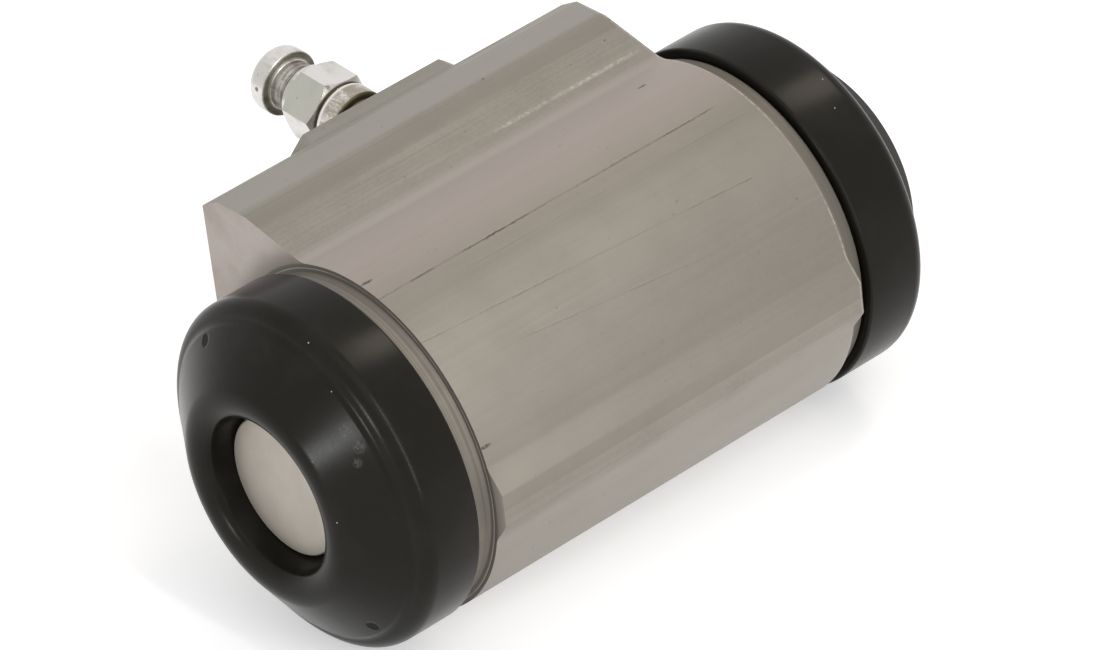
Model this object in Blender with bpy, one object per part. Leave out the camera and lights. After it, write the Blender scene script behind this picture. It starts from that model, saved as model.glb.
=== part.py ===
"""Hydraulic drum-brake wheel cylinder with two opposed pistons.

X runs along the bore, +Y points out of the mounting face and +Z is up.
The origin is at the centre of the pilot boss's face. Pieces are placed from the middle of the bore,
which an empty marks. All sizes are in metres.
"""

import math

import bmesh
import bpy
from mathutils import Matrix, Vector

# Cylinder body: an extruded section, turned at both ends
BODY_LENGTH = 0.045
BORE_RADIUS = 0.0127
BORE_MOUTH_CHAMFER = 0.0006
BARREL_WALL = 0.00495
FLANGE_STANDOFF = 0.00265
EAR_RISE = 0.00085
EAR_CHAMFER_RUN = 0.0023
EAR_CHAMFER_DROP = 0.00125
EAR_TOP_LENGTH = 0.0041
EAR_TOP_ROUND = 0.0012
EAR_TOP_FALL = 0.00004
VALLEY_ANGLE = math.radians(69.5)
VALLEY_FILLET = 0.003
VALLEY_RUNOUT = 0.0018
RIB_HEIGHT = 0.0012
RIB_CREST_HALF = 0.0017
RIB_BASE_HALF = 0.0039
RIB_CREST_ROUND = 0.0006
RIB_BASE_FILLET = 0.0015
RIB_LEAD_IN = 0.0007

# Turned neck at each end, with the band that shows and the boot's groove
NECK_LENGTH = 0.0064
NECK_BAND_WALL = 0.00415
NECK_BAND_LENGTH = 0.0019
NECK_SEAT_WALL = 0.0032
NECK_CHAMFER = 0.0006
BOOT_GROOVE_DEPTH = 0.0010
BOOT_GROOVE_START = 0.0034
BOOT_GROOVE_WIDTH = 0.0018

# Round pilot boss on the mounting face, cut off by the flange's top edge
PILOT_RADIUS = 0.0145
PILOT_CENTRE_Z = 0.0055
PILOT_HEIGHT = 0.0020
PILOT_ROOT = 0.002

# Brake-pipe port (M10 x 1) in the pilot boss
PORT_Z = -0.0020
PORT_RADIUS = 0.0045
PORT_DEPTH = 0.0070
PORT_CHAMFER = 0.0006
PORT_PASSAGE_RADIUS = 0.0015
PORT_PASSAGE_INTO_BORE = 0.003

# Two tapped mounting holes (M6) in the flange
MOUNT_HOLE_X = 0.0160
MOUNT_HOLE_Z = -0.0105
MOUNT_HOLE_RADIUS = 0.00255
MOUNT_HOLE_DEPTH = 0.0080
MOUNT_HOLE_CHAMFER = 0.0006
DRILL_POINT_ANGLE = math.radians(59)

# Bleed screw (M7 x 1, 7 mm hexagon); stations are measured out of the pilot's face
BLEED_Z = 0.01285
BLEED_TILT = math.radians(4.8)
BLEED_THREAD_RADIUS = 0.0035
BLEED_SHANK_RADIUS = 0.0026
BLEED_COLLAR_RADIUS = 0.0035
BLEED_NECK_RADIUS = 0.00255
BLEED_SHOULDER_RADIUS = 0.0030
BLEED_NIPPLE_RADIUS = 0.00337
BLEED_SEAT_STATION = -0.0102
BLEED_SHANK_TOP = -0.0075
BLEED_THREAD_TOP = 0.0019
BLEED_COLLAR_BASE = 0.0024
BLEED_COLLAR_CHAMFER = 0.0003
BLEED_HEX_BASE = 0.0050
BLEED_HEX_LENGTH = 0.0044
BLEED_HEX_ACROSS_FLATS = 0.0070
BLEED_HEX_CHAMFER = 0.0003
BLEED_HEX_CHAMFER_ANGLE = math.radians(30)
BLEED_HEX_TURN = math.radians(10.4)
BLEED_SHOULDER_LENGTH = 0.00093
BLEED_SHOULDER_TAPER = 0.00078
BLEED_NECK_LENGTH = 0.0031
BLEED_NIPPLE_LENGTH = 0.0026
BLEED_NIPPLE_ROUND = 0.0013
BLEED_PASSAGE_RADIUS = 0.0009
BLEED_CROSS_HOLE_RADIUS = 0.0007
BLEED_THREAD_CLEARANCE = 0.0001
BLEED_RELIEF_DEPTH = 0.0005
BLEED_RELIEF_LENGTH = 0.0012
BLEED_HOLE_CHAMFER = 0.0004
BLEED_SEAT_PASSAGE_RADIUS = 0.00125
BLEED_SEAT_PASSAGE_LENGTH = 0.0080

# Piston; its stations are measured outwards from its inner face, and the right one stands further out
PISTON_CLEARANCE = 0.00005
PISTON_INNER_X = 0.0135
RIGHT_REACH = 0.0015
PISTON_SKIRT_LENGTH = 0.0130
PISTON_LENGTH = 0.0192
PISTON_NOSE_RADIUS = 0.0080
PISTON_FACE_RADIUS = 0.00705
PISTON_FACE_THICKNESS = 0.0008
PISTON_GROOVE_RADIUS = 0.0062
PISTON_GROOVE_WIDTH = 0.0013
PISTON_EDGE_CHAMFER = 0.0005
PISTON_FACE_CHAMFER = 0.0002

# Rubber pressure cup
SEAT_GAP = 0.0003
CUP_CLEARANCE = 0.0001
CUP_BASE_THICKNESS = 0.0026
CUP_LENGTH = 0.0056
CUP_LIP_THICKNESS = 0.0018
CUP_EDGE = 0.0005

# Pressed cup expander, which also seats the spring
EXPANDER_SHEET = 0.0007
EXPANDER_SEAT_MARGIN = 0.0011
EXPANDER_HUB_MARGIN = 0.0012
EXPANDER_HUB_HEIGHT = 0.0019
EXPANDER_RIM_RISE = 0.0014
EXPANDER_BEND = 0.0002

# Return spring
SPRING_WIRE_RADIUS = 0.0006
SPRING_MEAN_RADIUS = 0.0073
SPRING_TURNS = 6.5
SPRING_END_TURNS = 0.75
SPRING_CLOSE_PITCH = 0.00138

# Dust boot; its stations are measured outwards from the body's end face
BOOT_RIM_STATION = 0.0021
BOOT_SKIRT_THICKNESS = 0.00185
BOOT_FIT = 0.0001
BOOT_RIM_ROUND = 0.0003
BOOT_SKIRT_END = 0.00705
BOOT_SHOULDER_RADIUS = 0.0018
BOOT_SHOULDER_END = math.radians(6)
BOOT_WAIST_WIDTH = 0.00057
BOOT_WAIST_DROP = 0.00048
BOOT_NOSE_STATION = 0.0104
BOOT_NOSE_RING_RADIUS = 0.00975
BOOT_NOSE_RADIUS = 0.00255
BOOT_NOSE_START = math.radians(34.5)
BOOT_NOSE_END = math.radians(-36)
BOOT_MOUTH_EDGE = 0.00025
BOOT_MOUTH_FLARE = 0.0003
BOOT_WALL = 0.0016
BOOT_INNER_NOSE_START = math.radians(-30)
BOOT_INNER_SHOULDER_RADIUS = 0.0009
BOOT_INNER_SETBACK = 0.00025
BOOT_SHOULDER_SHARE = 0.5

# Colour, roughness and metallic of each material
MATERIALS = {
    "extruded_aluminium": ((0.36, 0.33, 0.29), 0.42, 0.85),
    "zinc_plated_steel": ((0.62, 0.63, 0.58), 0.28, 1.0),
    "piston_metal": ((0.52, 0.51, 0.49), 0.5, 0.6),
    "cup_rubber": ((0.02, 0.02, 0.022), 0.5, 0.0),
    "pressed_steel": ((0.45, 0.45, 0.44), 0.35, 1.0),
    "spring_steel": ((0.35, 0.35, 0.35), 0.35, 1.0),
    "boot_rubber": ((0.012, 0.012, 0.012), 0.32, 0.0),
}

# Facets around the round pieces
ROUND_SEGMENTS = 40
SMALL_SEGMENTS = 24
ON_AXIS = 1e-9
SPRING_SIDES = 6
SPRING_STEPS_PER_TURN = 14
PASSAGE_SEGMENTS = 12
BARREL_STEPS = 14
PILOT_STEPS = 36

# How far a cutter passes the face it opens, and how far the hexagon's cutter passes its ends and corners
CUT_PAST = 0.001
HEX_CUT_PAST = 0.0002
HEX_BLANK_OVERSIZE = 1.04
HEX_CUTTER_OVERSIZE = 1.5

# Sizes that follow from the ones above
HALF_BODY = BODY_LENGTH / 2
BARREL_RADIUS = BORE_RADIUS + BARREL_WALL
FLANGE_FACE_Y = BARREL_RADIUS + FLANGE_STANDOFF
EAR_TOP_Z = BARREL_RADIUS + EAR_RISE
FLANGE_CORNER_Z = EAR_TOP_Z - EAR_CHAMFER_DROP
NECK_BAND_RADIUS = BORE_RADIUS + NECK_BAND_WALL
NECK_SEAT_RADIUS = BORE_RADIUS + NECK_SEAT_WALL
BOOT_GROOVE_RADIUS = NECK_SEAT_RADIUS - BOOT_GROOVE_DEPTH
PILOT_FACE_Y = FLANGE_FACE_Y + PILOT_HEIGHT
PISTON_RADIUS = BORE_RADIUS - PISTON_CLEARANCE
CUP_RADIUS = BORE_RADIUS - CUP_CLEARANCE
BOOT_SKIRT_RADIUS = NECK_SEAT_RADIUS + BOOT_SKIRT_THICKNESS
EXPANDER_SEAT_RADIUS = SPRING_MEAN_RADIUS + SPRING_WIRE_RADIUS + EXPANDER_SEAT_MARGIN
EXPANDER_HUB_RADIUS = SPRING_MEAN_RADIUS - SPRING_WIRE_RADIUS - EXPANDER_HUB_MARGIN
SPRING_SEAT_X = PISTON_INNER_X - SEAT_GAP - CUP_BASE_THICKNESS - SEAT_GAP - EXPANDER_SHEET


def arc(centre, radius, start, end, steps):
    """Points on an arc, both ends included."""
    points = []
    for i in range(steps + 1):
        angle = start + (end - start) * i / steps
        points.append((centre[0] + radius * math.cos(angle), centre[1] + radius * math.sin(angle)))
    return points


def rounded(corners, radii, steps=4):
    """A polyline with its inner corners rounded to the given radii."""
    points = [corners[0]]
    for before, corner, after, radius in zip(corners, corners[1:], corners[2:], radii[1:]):
        if radius == 0:
            points.append(corner)
            continue
        a = (before[0] - corner[0], before[1] - corner[1])
        b = (after[0] - corner[0], after[1] - corner[1])
        length_a = math.hypot(*a)
        length_b = math.hypot(*b)
        a = (a[0] / length_a, a[1] / length_a)
        b = (b[0] / length_b, b[1] / length_b)
        half = math.acos(max(-1, min(1, a[0] * b[0] + a[1] * b[1]))) / 2
        trim = min(radius / math.tan(half), 0.49 * length_a, 0.49 * length_b)
        radius = trim * math.tan(half)
        reach = radius / math.sin(half)
        middle = (a[0] + b[0], a[1] + b[1])
        size = math.hypot(*middle)
        centre = (corner[0] + middle[0] / size * reach, corner[1] + middle[1] / size * reach)
        start = math.atan2(corner[1] + a[1] * trim - centre[1], corner[0] + a[0] * trim - centre[0])
        end = math.atan2(corner[1] + b[1] * trim - centre[1], corner[0] + b[0] * trim - centre[0])
        turn = (end - start + math.pi) % (2 * math.pi) - math.pi
        points += arc(centre, radius, start, start + turn, steps)
    points.append(corners[-1])
    return points


def make_material(name):
    """A Principled material from the table."""
    colour, roughness, metallic = MATERIALS[name]
    material = bpy.data.materials.new(name)
    material.use_nodes = True
    shader = material.node_tree.nodes["Principled BSDF"]
    shader.inputs["Base Color"].default_value = (*colour, 1)
    shader.inputs["Roughness"].default_value = roughness
    shader.inputs["Metallic"].default_value = metallic
    return material


def make_bore_axis():
    """The empty at the middle of the bore that carries every piece."""
    empty = bpy.data.objects.new("bore_axis", None)
    bpy.context.scene.collection.objects.link(empty)
    empty.location = (0, -PILOT_FACE_Y, -PILOT_CENTRE_Z)


def make_object(name, mesh, material=None, location=(0, 0, 0), rotation=(0, 0, 0)):
    """An object for a mesh, placed from the middle of the bore, with its material."""
    obj = bpy.data.objects.new(name, mesh)
    bpy.context.scene.collection.objects.link(obj)
    obj.parent = bpy.data.objects["bore_axis"]
    obj.location = location
    obj.rotation_euler = rotation
    if material and not mesh.materials:
        mesh.materials.append(material)
    return obj


def finish_mesh(bm, name, sharp_angle=35):
    """A bmesh turned into an outward-facing mesh, smooth between its sharp edges."""
    bmesh.ops.recalc_face_normals(bm, faces=bm.faces)
    mesh = bpy.data.meshes.new(name)
    bm.to_mesh(mesh)
    bm.free()
    mesh.shade_smooth()
    mesh.set_sharp_from_angle(angle=math.radians(sharp_angle))
    return mesh


def lathe(name, profile, segments, closed=False):
    """A turned mesh about the local X axis from (station, radius) points.

    A closed profile makes a ring. An open one starts and ends on the axis.
    """
    bm = bmesh.new()
    rings = []
    for station, radius in profile:
        if radius < ON_AXIS:
            rings.append([bm.verts.new((station, 0, 0))])
            continue
        ring = []
        for i in range(segments):
            angle = 2 * math.pi * i / segments
            ring.append(bm.verts.new((station, radius * math.cos(angle), radius * math.sin(angle))))
        rings.append(ring)
    pairs = list(zip(rings, rings[1:]))
    if closed:
        pairs.append((rings[-1], rings[0]))
    for low, high in pairs:
        for i in range(segments):
            j = (i + 1) % segments
            if len(low) == 1:
                bm.faces.new((low[0], high[i], high[j]))
            elif len(high) == 1:
                bm.faces.new((low[i], high[0], low[j]))
            else:
                bm.faces.new((low[i], high[i], high[j], low[j]))
    return finish_mesh(bm, name)


def prism(name, outline, start, end, inner=None):
    """An outline of (y, z) points extruded along the local X axis; a hole has as many points."""
    bm = bmesh.new()
    loops = []
    for points in (outline, inner or []):
        for station in (start, end):
            loops.append([bm.verts.new((station, y, z)) for y, z in points])
    outer_low, outer_high, inner_low, inner_high = loops
    count = len(outline)
    for i in range(count):
        j = (i + 1) % count
        bm.faces.new((outer_low[i], outer_low[j], outer_high[j], outer_high[i]))
        if inner:
            bm.faces.new((inner_low[i], inner_high[i], inner_high[j], inner_low[j]))
            bm.faces.new((outer_low[i], inner_low[i], inner_low[j], outer_low[j]))
            bm.faces.new((outer_high[i], outer_high[j], inner_high[j], inner_high[i]))
    if not inner:
        bm.faces.new(outer_low)
        bm.faces.new(outer_high)
    return finish_mesh(bm, name)


def add_boolean(obj, operation, tool):
    """A live Boolean on an object; its tool stays out of the render."""
    tool.hide_render = True
    tool.display_type = "WIRE"
    modifier = obj.modifiers.new(tool.name, "BOOLEAN")
    modifier.operation = operation
    modifier.solver = "EXACT"
    modifier.object = tool


def along_y(position, tilt=0):
    """Location and rotation that turn a lathe's X axis to point out of the mounting face."""
    rotation = Matrix.Rotation(tilt, 4, "X") @ Matrix.Rotation(math.pi / 2, 4, "Z")
    return position, rotation.to_euler()


def side_placements(left_distance, right_distance):
    """Left and right names with their locations and turns; a lathe's X axis points outwards."""
    return (
        ("left", (-left_distance, 0, 0), (0, 0, math.pi)),
        ("right", (right_distance, 0, 0), (0, 0, 0)),
    )


def section_outline():
    """The extrusion's section: barrel, front rib and the two ears of the flange."""
    ear_end = (FLANGE_FACE_Y - EAR_CHAMFER_RUN - EAR_TOP_LENGTH, EAR_TOP_Z - EAR_TOP_FALL)
    valley = (BARREL_RADIUS * math.cos(VALLEY_ANGLE), BARREL_RADIUS * math.sin(VALLEY_ANGLE))
    past_valley = (
        valley[0] - VALLEY_RUNOUT * math.sin(VALLEY_ANGLE),
        valley[1] + VALLEY_RUNOUT * math.cos(VALLEY_ANGLE),
    )
    ear = rounded(
        [
            (FLANGE_FACE_Y, FLANGE_CORNER_Z),
            (FLANGE_FACE_Y - EAR_CHAMFER_RUN, EAR_TOP_Z),
            ear_end,
            valley,
            past_valley,
        ],
        [0, EAR_TOP_ROUND / 2, EAR_TOP_ROUND, VALLEY_FILLET, 0],
    )[:-1]
    rib_angle = math.pi - math.asin(RIB_BASE_HALF / BARREL_RADIUS)
    arc_start = VALLEY_ANGLE + VALLEY_RUNOUT / BARREL_RADIUS
    arc_end = rib_angle - RIB_LEAD_IN / BARREL_RADIUS
    barrel = arc((0, 0), BARREL_RADIUS, arc_start, arc_end, BARREL_STEPS)
    rib_foot = (BARREL_RADIUS * math.cos(rib_angle), RIB_BASE_HALF)
    crest_y = -(BARREL_RADIUS + RIB_HEIGHT)
    rib = rounded(
        [barrel[-1], rib_foot, (crest_y, RIB_CREST_HALF), (crest_y, 0)],
        [0, RIB_BASE_FILLET, RIB_CREST_ROUND, 0],
        steps=3,
    )[1:-1]
    upper = ear + barrel + rib
    lower = [(y, -z) for y, z in reversed(upper)]
    return upper + lower


def neck_profile():
    """Outside of the turned ends: the band, the boot's seat and its groove, through the whole body."""
    seat_start = HALF_BODY + NECK_BAND_LENGTH
    groove_start = HALF_BODY + BOOT_GROOVE_START
    groove_end = groove_start + BOOT_GROOVE_WIDTH
    neck_end = HALF_BODY + NECK_LENGTH
    right = [
        (seat_start, NECK_BAND_RADIUS),
        (seat_start, NECK_SEAT_RADIUS),
        (groove_start, NECK_SEAT_RADIUS),
        (groove_start, BOOT_GROOVE_RADIUS),
        (groove_end, BOOT_GROOVE_RADIUS),
        (groove_end, NECK_SEAT_RADIUS),
        (neck_end - NECK_CHAMFER, NECK_SEAT_RADIUS),
        (neck_end, NECK_SEAT_RADIUS - NECK_CHAMFER),
        (neck_end, 0),
    ]
    left = [(-station, radius) for station, radius in reversed(right)]
    return left + right


def bore_profile():
    """The bore's cutter, with a chamfer at each mouth."""
    neck_end = HALF_BODY + NECK_LENGTH
    right = [
        (neck_end - BORE_MOUTH_CHAMFER, BORE_RADIUS),
        (neck_end + CUT_PAST, BORE_RADIUS + BORE_MOUTH_CHAMFER + CUT_PAST),
        (neck_end + CUT_PAST, 0),
    ]
    left = [(-station, radius) for station, radius in reversed(right)]
    return left + right


def blind_hole_profile(radius, depth, chamfer):
    """A drilled hole's cutter; station 0 is the face and the hole goes to minus depth."""
    point = radius / math.tan(DRILL_POINT_ANGLE)
    return [
        (-depth - point, 0),
        (-depth, radius),
        (-chamfer, radius),
        (CUT_PAST, radius + chamfer + CUT_PAST),
        (CUT_PAST, 0),
    ]


def port_profile():
    """The brake-pipe port's cutter, with its passage into the bore."""
    hole = blind_hole_profile(PORT_RADIUS, PORT_DEPTH, PORT_CHAMFER)
    cone_depth = (PORT_RADIUS - PORT_PASSAGE_RADIUS) / math.tan(DRILL_POINT_ANGLE)
    inside_bore = PILOT_FACE_Y - BORE_RADIUS + PORT_PASSAGE_INTO_BORE
    passage = [
        (-inside_bore, 0),
        (-inside_bore, PORT_PASSAGE_RADIUS),
        (-PORT_DEPTH - cone_depth, PORT_PASSAGE_RADIUS),
    ]
    return passage + hole[1:]


def bleed_hole_profile():
    """The bleed hole's cutter: thread, clearance, 90 degree seat and passage."""
    relief = BLEED_THREAD_RADIUS - BLEED_RELIEF_DEPTH
    seat = BLEED_SEAT_STATION
    seat_end = seat - (relief - BLEED_SEAT_PASSAGE_RADIUS)
    relief_end = seat + BLEED_RELIEF_LENGTH
    return [
        (seat_end - BLEED_SEAT_PASSAGE_LENGTH, 0),
        (seat_end - BLEED_SEAT_PASSAGE_LENGTH, BLEED_SEAT_PASSAGE_RADIUS),
        (seat_end, BLEED_SEAT_PASSAGE_RADIUS),
        (seat, relief),
        (relief_end, relief),
        (relief_end, BLEED_THREAD_RADIUS),
        (-BLEED_HOLE_CHAMFER, BLEED_THREAD_RADIUS),
        (CUT_PAST, BLEED_THREAD_RADIUS + BLEED_HOLE_CHAMFER + CUT_PAST),
        (CUT_PAST, 0),
    ]


def make_body(material):
    """The extruded and machined cylinder body."""
    section = prism("cylinder_body", section_outline(), -HALF_BODY, HALF_BODY)
    body = make_object("cylinder_body", section, material)
    necks = make_object("turned_necks", lathe("turned_necks", neck_profile(), ROUND_SEGMENTS))
    add_boolean(body, "UNION", necks)

    half_chord = math.asin(min(1, (FLANGE_CORNER_Z - PILOT_CENTRE_Z) / PILOT_RADIUS))
    around = arc((0, 0), PILOT_RADIUS, math.pi - half_chord, 2 * math.pi + half_chord, PILOT_STEPS)
    outline = [(x, z + PILOT_CENTRE_Z) for x, z in around]
    pilot_mesh = prism("pilot_boss", [(-x, z) for x, z in outline], -PILOT_ROOT, PILOT_HEIGHT)
    pilot = make_object("pilot_boss", pilot_mesh, None, *along_y((0, FLANGE_FACE_Y, 0)))
    add_boolean(body, "UNION", pilot)

    bore = make_object("bore", lathe("bore", bore_profile(), ROUND_SEGMENTS))
    add_boolean(body, "DIFFERENCE", bore)
    port_mesh = lathe("pipe_port", port_profile(), SMALL_SEGMENTS)
    port = make_object("pipe_port", port_mesh, None, *along_y((0, PILOT_FACE_Y, PORT_Z)))
    add_boolean(body, "DIFFERENCE", port)
    hole_mesh = lathe("bleed_hole", bleed_hole_profile(), SMALL_SEGMENTS)
    place = along_y((0, PILOT_FACE_Y, BLEED_Z), BLEED_TILT)
    add_boolean(body, "DIFFERENCE", make_object("bleed_hole", hole_mesh, None, *place))
    mount_profile = blind_hole_profile(MOUNT_HOLE_RADIUS, MOUNT_HOLE_DEPTH, MOUNT_HOLE_CHAMFER)
    mount_mesh = lathe("mounting_hole", mount_profile, SMALL_SEGMENTS)
    for side, x in (("left", -MOUNT_HOLE_X), ("right", MOUNT_HOLE_X)):
        place = along_y((x, FLANGE_FACE_Y, MOUNT_HOLE_Z))
        hole = make_object("mounting_hole_" + side, mount_mesh, None, *place)
        add_boolean(body, "DIFFERENCE", hole)
    return body


def bleed_screw_profile():
    """The bleed screw before its hexagon is cut, from its seat cone to the hose nipple."""
    thread = BLEED_THREAD_RADIUS - BLEED_THREAD_CLEARANCE
    seat_shift = SEAT_GAP * math.sqrt(2)
    relief = BLEED_THREAD_RADIUS - BLEED_RELIEF_DEPTH
    cone_top = BLEED_SEAT_STATION + seat_shift - (relief - BLEED_SHANK_RADIUS)
    tip_radius = BLEED_SEAT_PASSAGE_RADIUS
    tip = cone_top - (BLEED_SHANK_RADIUS - tip_radius)
    thread_chamfer = thread - BLEED_SHANK_RADIUS
    corner = BLEED_HEX_ACROSS_FLATS / math.sqrt(3) * HEX_BLANK_OVERSIZE
    hex_end = BLEED_HEX_BASE + BLEED_HEX_LENGTH
    flat_edge = BLEED_HEX_ACROSS_FLATS / 2 - BLEED_HEX_CHAMFER
    chamfer_run = (corner - flat_edge) * math.tan(BLEED_HEX_CHAMFER_ANGLE)
    neck_end = hex_end + BLEED_NECK_LENGTH
    nipple_end = neck_end + BLEED_NIPPLE_LENGTH
    nipple_round = arc(
        (nipple_end - BLEED_NIPPLE_ROUND, BLEED_NIPPLE_RADIUS - BLEED_NIPPLE_ROUND),
        BLEED_NIPPLE_ROUND, math.pi / 2, 0, 4,
    )
    shoulder_end = hex_end + BLEED_SHOULDER_LENGTH
    neck_start = shoulder_end + BLEED_SHOULDER_TAPER
    return [
        (tip, 0),
        (tip, tip_radius),
        (cone_top, BLEED_SHANK_RADIUS),
        (BLEED_SHANK_TOP, BLEED_SHANK_RADIUS),
        (BLEED_SHANK_TOP + thread_chamfer, thread),
        (BLEED_THREAD_TOP, thread),
        (BLEED_THREAD_TOP, thread - BLEED_RELIEF_DEPTH),
        (BLEED_COLLAR_BASE, thread - BLEED_RELIEF_DEPTH),
        (BLEED_COLLAR_BASE, BLEED_COLLAR_RADIUS),
        (BLEED_HEX_BASE - BLEED_COLLAR_CHAMFER, BLEED_COLLAR_RADIUS),
        (BLEED_HEX_BASE, flat_edge),
        (BLEED_HEX_BASE + chamfer_run, corner),
        (hex_end - chamfer_run, corner),
        (hex_end, flat_edge),
        (hex_end, BLEED_SHOULDER_RADIUS),
        (shoulder_end, BLEED_SHOULDER_RADIUS),
        (neck_start, BLEED_NECK_RADIUS),
        (neck_end, BLEED_NECK_RADIUS),
        (neck_end, BLEED_NIPPLE_RADIUS),
        *nipple_round,
        (nipple_end, 0),
    ]


def hexagon(across_flats):
    """Corner points of a hexagon."""
    radius = across_flats / math.sqrt(3)
    angles = [BLEED_HEX_TURN + i * math.pi / 3 for i in range(6)]
    return [(radius * math.cos(angle), radius * math.sin(angle)) for angle in angles]


def make_bleed_screw(material):
    """The bleed screw, tilted up as its hole is, with its drilled passage."""
    place = along_y((0, PILOT_FACE_Y, BLEED_Z), BLEED_TILT)
    profile = bleed_screw_profile()
    screw = make_object("bleed_screw", lathe("bleed_screw", profile, SMALL_SEGMENTS), material, *place)

    hex_start = BLEED_HEX_BASE - HEX_CUT_PAST
    hex_end = BLEED_HEX_BASE + BLEED_HEX_LENGTH + HEX_CUT_PAST
    flats = prism(
        "hexagon_flats", hexagon(BLEED_HEX_ACROSS_FLATS * HEX_CUTTER_OVERSIZE), hex_start, hex_end,
        inner=hexagon(BLEED_HEX_ACROSS_FLATS),
    )
    add_boolean(screw, "DIFFERENCE", make_object("hexagon_flats", flats, None, *place))

    tip = profile[0][0]
    outer_end = profile[-1][0]
    cross_station = tip + (BLEED_SHANK_RADIUS - BLEED_SEAT_PASSAGE_RADIUS) + 2 * BLEED_CROSS_HOLE_RADIUS
    passage_profile = [
        (cross_station, 0),
        (cross_station, BLEED_PASSAGE_RADIUS),
        (outer_end + CUT_PAST, BLEED_PASSAGE_RADIUS),
        (outer_end + CUT_PAST, 0),
    ]
    passage_mesh = lathe("screw_passage", passage_profile, PASSAGE_SEGMENTS)
    passage = make_object("screw_passage", passage_mesh, None, *place)
    add_boolean(screw, "DIFFERENCE", passage)

    reach = BLEED_THREAD_RADIUS + CUT_PAST
    cross_profile = [
        (0, 0),
        (0, BLEED_CROSS_HOLE_RADIUS),
        (reach, BLEED_CROSS_HOLE_RADIUS),
        (reach, 0),
    ]
    offset = Matrix.Rotation(BLEED_TILT, 4, "X") @ Matrix.Translation((0, cross_station, 0))
    position = offset.to_translation() + Vector((0, PILOT_FACE_Y, BLEED_Z))
    cross_mesh = lathe("screw_cross_hole", cross_profile, PASSAGE_SEGMENTS)
    cross = make_object("screw_cross_hole", cross_mesh, None, position)
    add_boolean(screw, "DIFFERENCE", cross)
    return screw


def piston_profile():
    """A piston from its inner face to its plain outer face, with the boot's groove."""
    face = PISTON_LENGTH
    flange = face - PISTON_FACE_THICKNESS
    groove = flange - PISTON_GROOVE_WIDTH
    edge = PISTON_EDGE_CHAMFER
    return [
        (0, 0),
        (0, PISTON_RADIUS - edge),
        (edge, PISTON_RADIUS),
        (PISTON_SKIRT_LENGTH - edge, PISTON_RADIUS),
        (PISTON_SKIRT_LENGTH, PISTON_RADIUS - edge),
        (PISTON_SKIRT_LENGTH, PISTON_NOSE_RADIUS),
        (groove, PISTON_NOSE_RADIUS),
        (groove, PISTON_GROOVE_RADIUS),
        (flange, PISTON_GROOVE_RADIUS),
        (flange, PISTON_FACE_RADIUS),
        (face - PISTON_FACE_CHAMFER, PISTON_FACE_RADIUS),
        (face, PISTON_FACE_RADIUS - PISTON_FACE_CHAMFER),
        (face, 0),
    ]


def cup_profile():
    """A rubber cup behind the piston; stations are negative, towards the middle."""
    back = -SEAT_GAP
    floor = back - CUP_BASE_THICKNESS
    lip = back - CUP_LENGTH
    root_radius = CUP_RADIUS - CUP_LIP_THICKNESS
    return [
        (back, 0),
        (back, CUP_RADIUS - CUP_EDGE),
        (back - CUP_EDGE, CUP_RADIUS),
        (lip + CUP_EDGE, CUP_RADIUS),
        (lip, CUP_RADIUS - CUP_EDGE),
        (lip + CUP_EDGE, root_radius + CUP_EDGE),
        (floor, root_radius),
        (floor, 0),
    ]


def expander_profile():
    """A pressed expander: hub in the spring, seat under it and a flared rim in the cup's lip."""
    back = -SEAT_GAP - CUP_BASE_THICKNESS - SEAT_GAP
    sheet = EXPANDER_SHEET
    seat = back - sheet
    hub = seat - EXPANDER_HUB_HEIGHT
    rim = seat - EXPANDER_RIM_RISE
    rim_radius = CUP_RADIUS - CUP_LIP_THICKNESS - SEAT_GAP
    return [
        (hub + sheet, 0),
        (hub + sheet, EXPANDER_HUB_RADIUS - sheet),
        (back, EXPANDER_HUB_RADIUS - EXPANDER_BEND),
        (back, EXPANDER_SEAT_RADIUS + sheet),
        (rim, rim_radius),
        (rim, rim_radius - sheet),
        (seat, EXPANDER_SEAT_RADIUS),
        (seat, EXPANDER_HUB_RADIUS),
        (hub, EXPANDER_HUB_RADIUS - sheet / 2),
        (hub, 0),
    ]


def make_spring(material):
    """The return spring: one wire with a closer pitch in its end turns."""
    first_x = SEAT_GAP + SPRING_WIRE_RADIUS - SPRING_SEAT_X
    length = RIGHT_REACH - 2 * first_x
    open_turns = SPRING_TURNS - 2 * SPRING_END_TURNS
    open_length = length - 2 * SPRING_END_TURNS * SPRING_CLOSE_PITCH
    steps = round(SPRING_TURNS * SPRING_STEPS_PER_TURN)
    bm = bmesh.new()
    rings = []
    for i in range(steps + 1):
        turns = SPRING_TURNS * i / steps
        in_first = min(turns, SPRING_END_TURNS)
        in_last = max(0, turns - (SPRING_TURNS - SPRING_END_TURNS))
        in_middle = turns - in_first - in_last
        x = first_x + (in_first + in_last) * SPRING_CLOSE_PITCH + in_middle / open_turns * open_length
        angle = 2 * math.pi * turns
        ring = []
        for side in range(SPRING_SIDES):
            around = 2 * math.pi * side / SPRING_SIDES
            radius = SPRING_MEAN_RADIUS + SPRING_WIRE_RADIUS * math.cos(around)
            station = x + SPRING_WIRE_RADIUS * math.sin(around)
            ring.append(bm.verts.new((station, radius * math.cos(angle), radius * math.sin(angle))))
        rings.append(ring)
    for low, high in zip(rings, rings[1:]):
        for i in range(SPRING_SIDES):
            j = (i + 1) % SPRING_SIDES
            bm.faces.new((low[i], high[i], high[j], low[j]))
    bm.faces.new(rings[0])
    bm.faces.new(rings[-1])
    return make_object("return_spring", finish_mesh(bm, "return_spring", 70), material)


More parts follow.
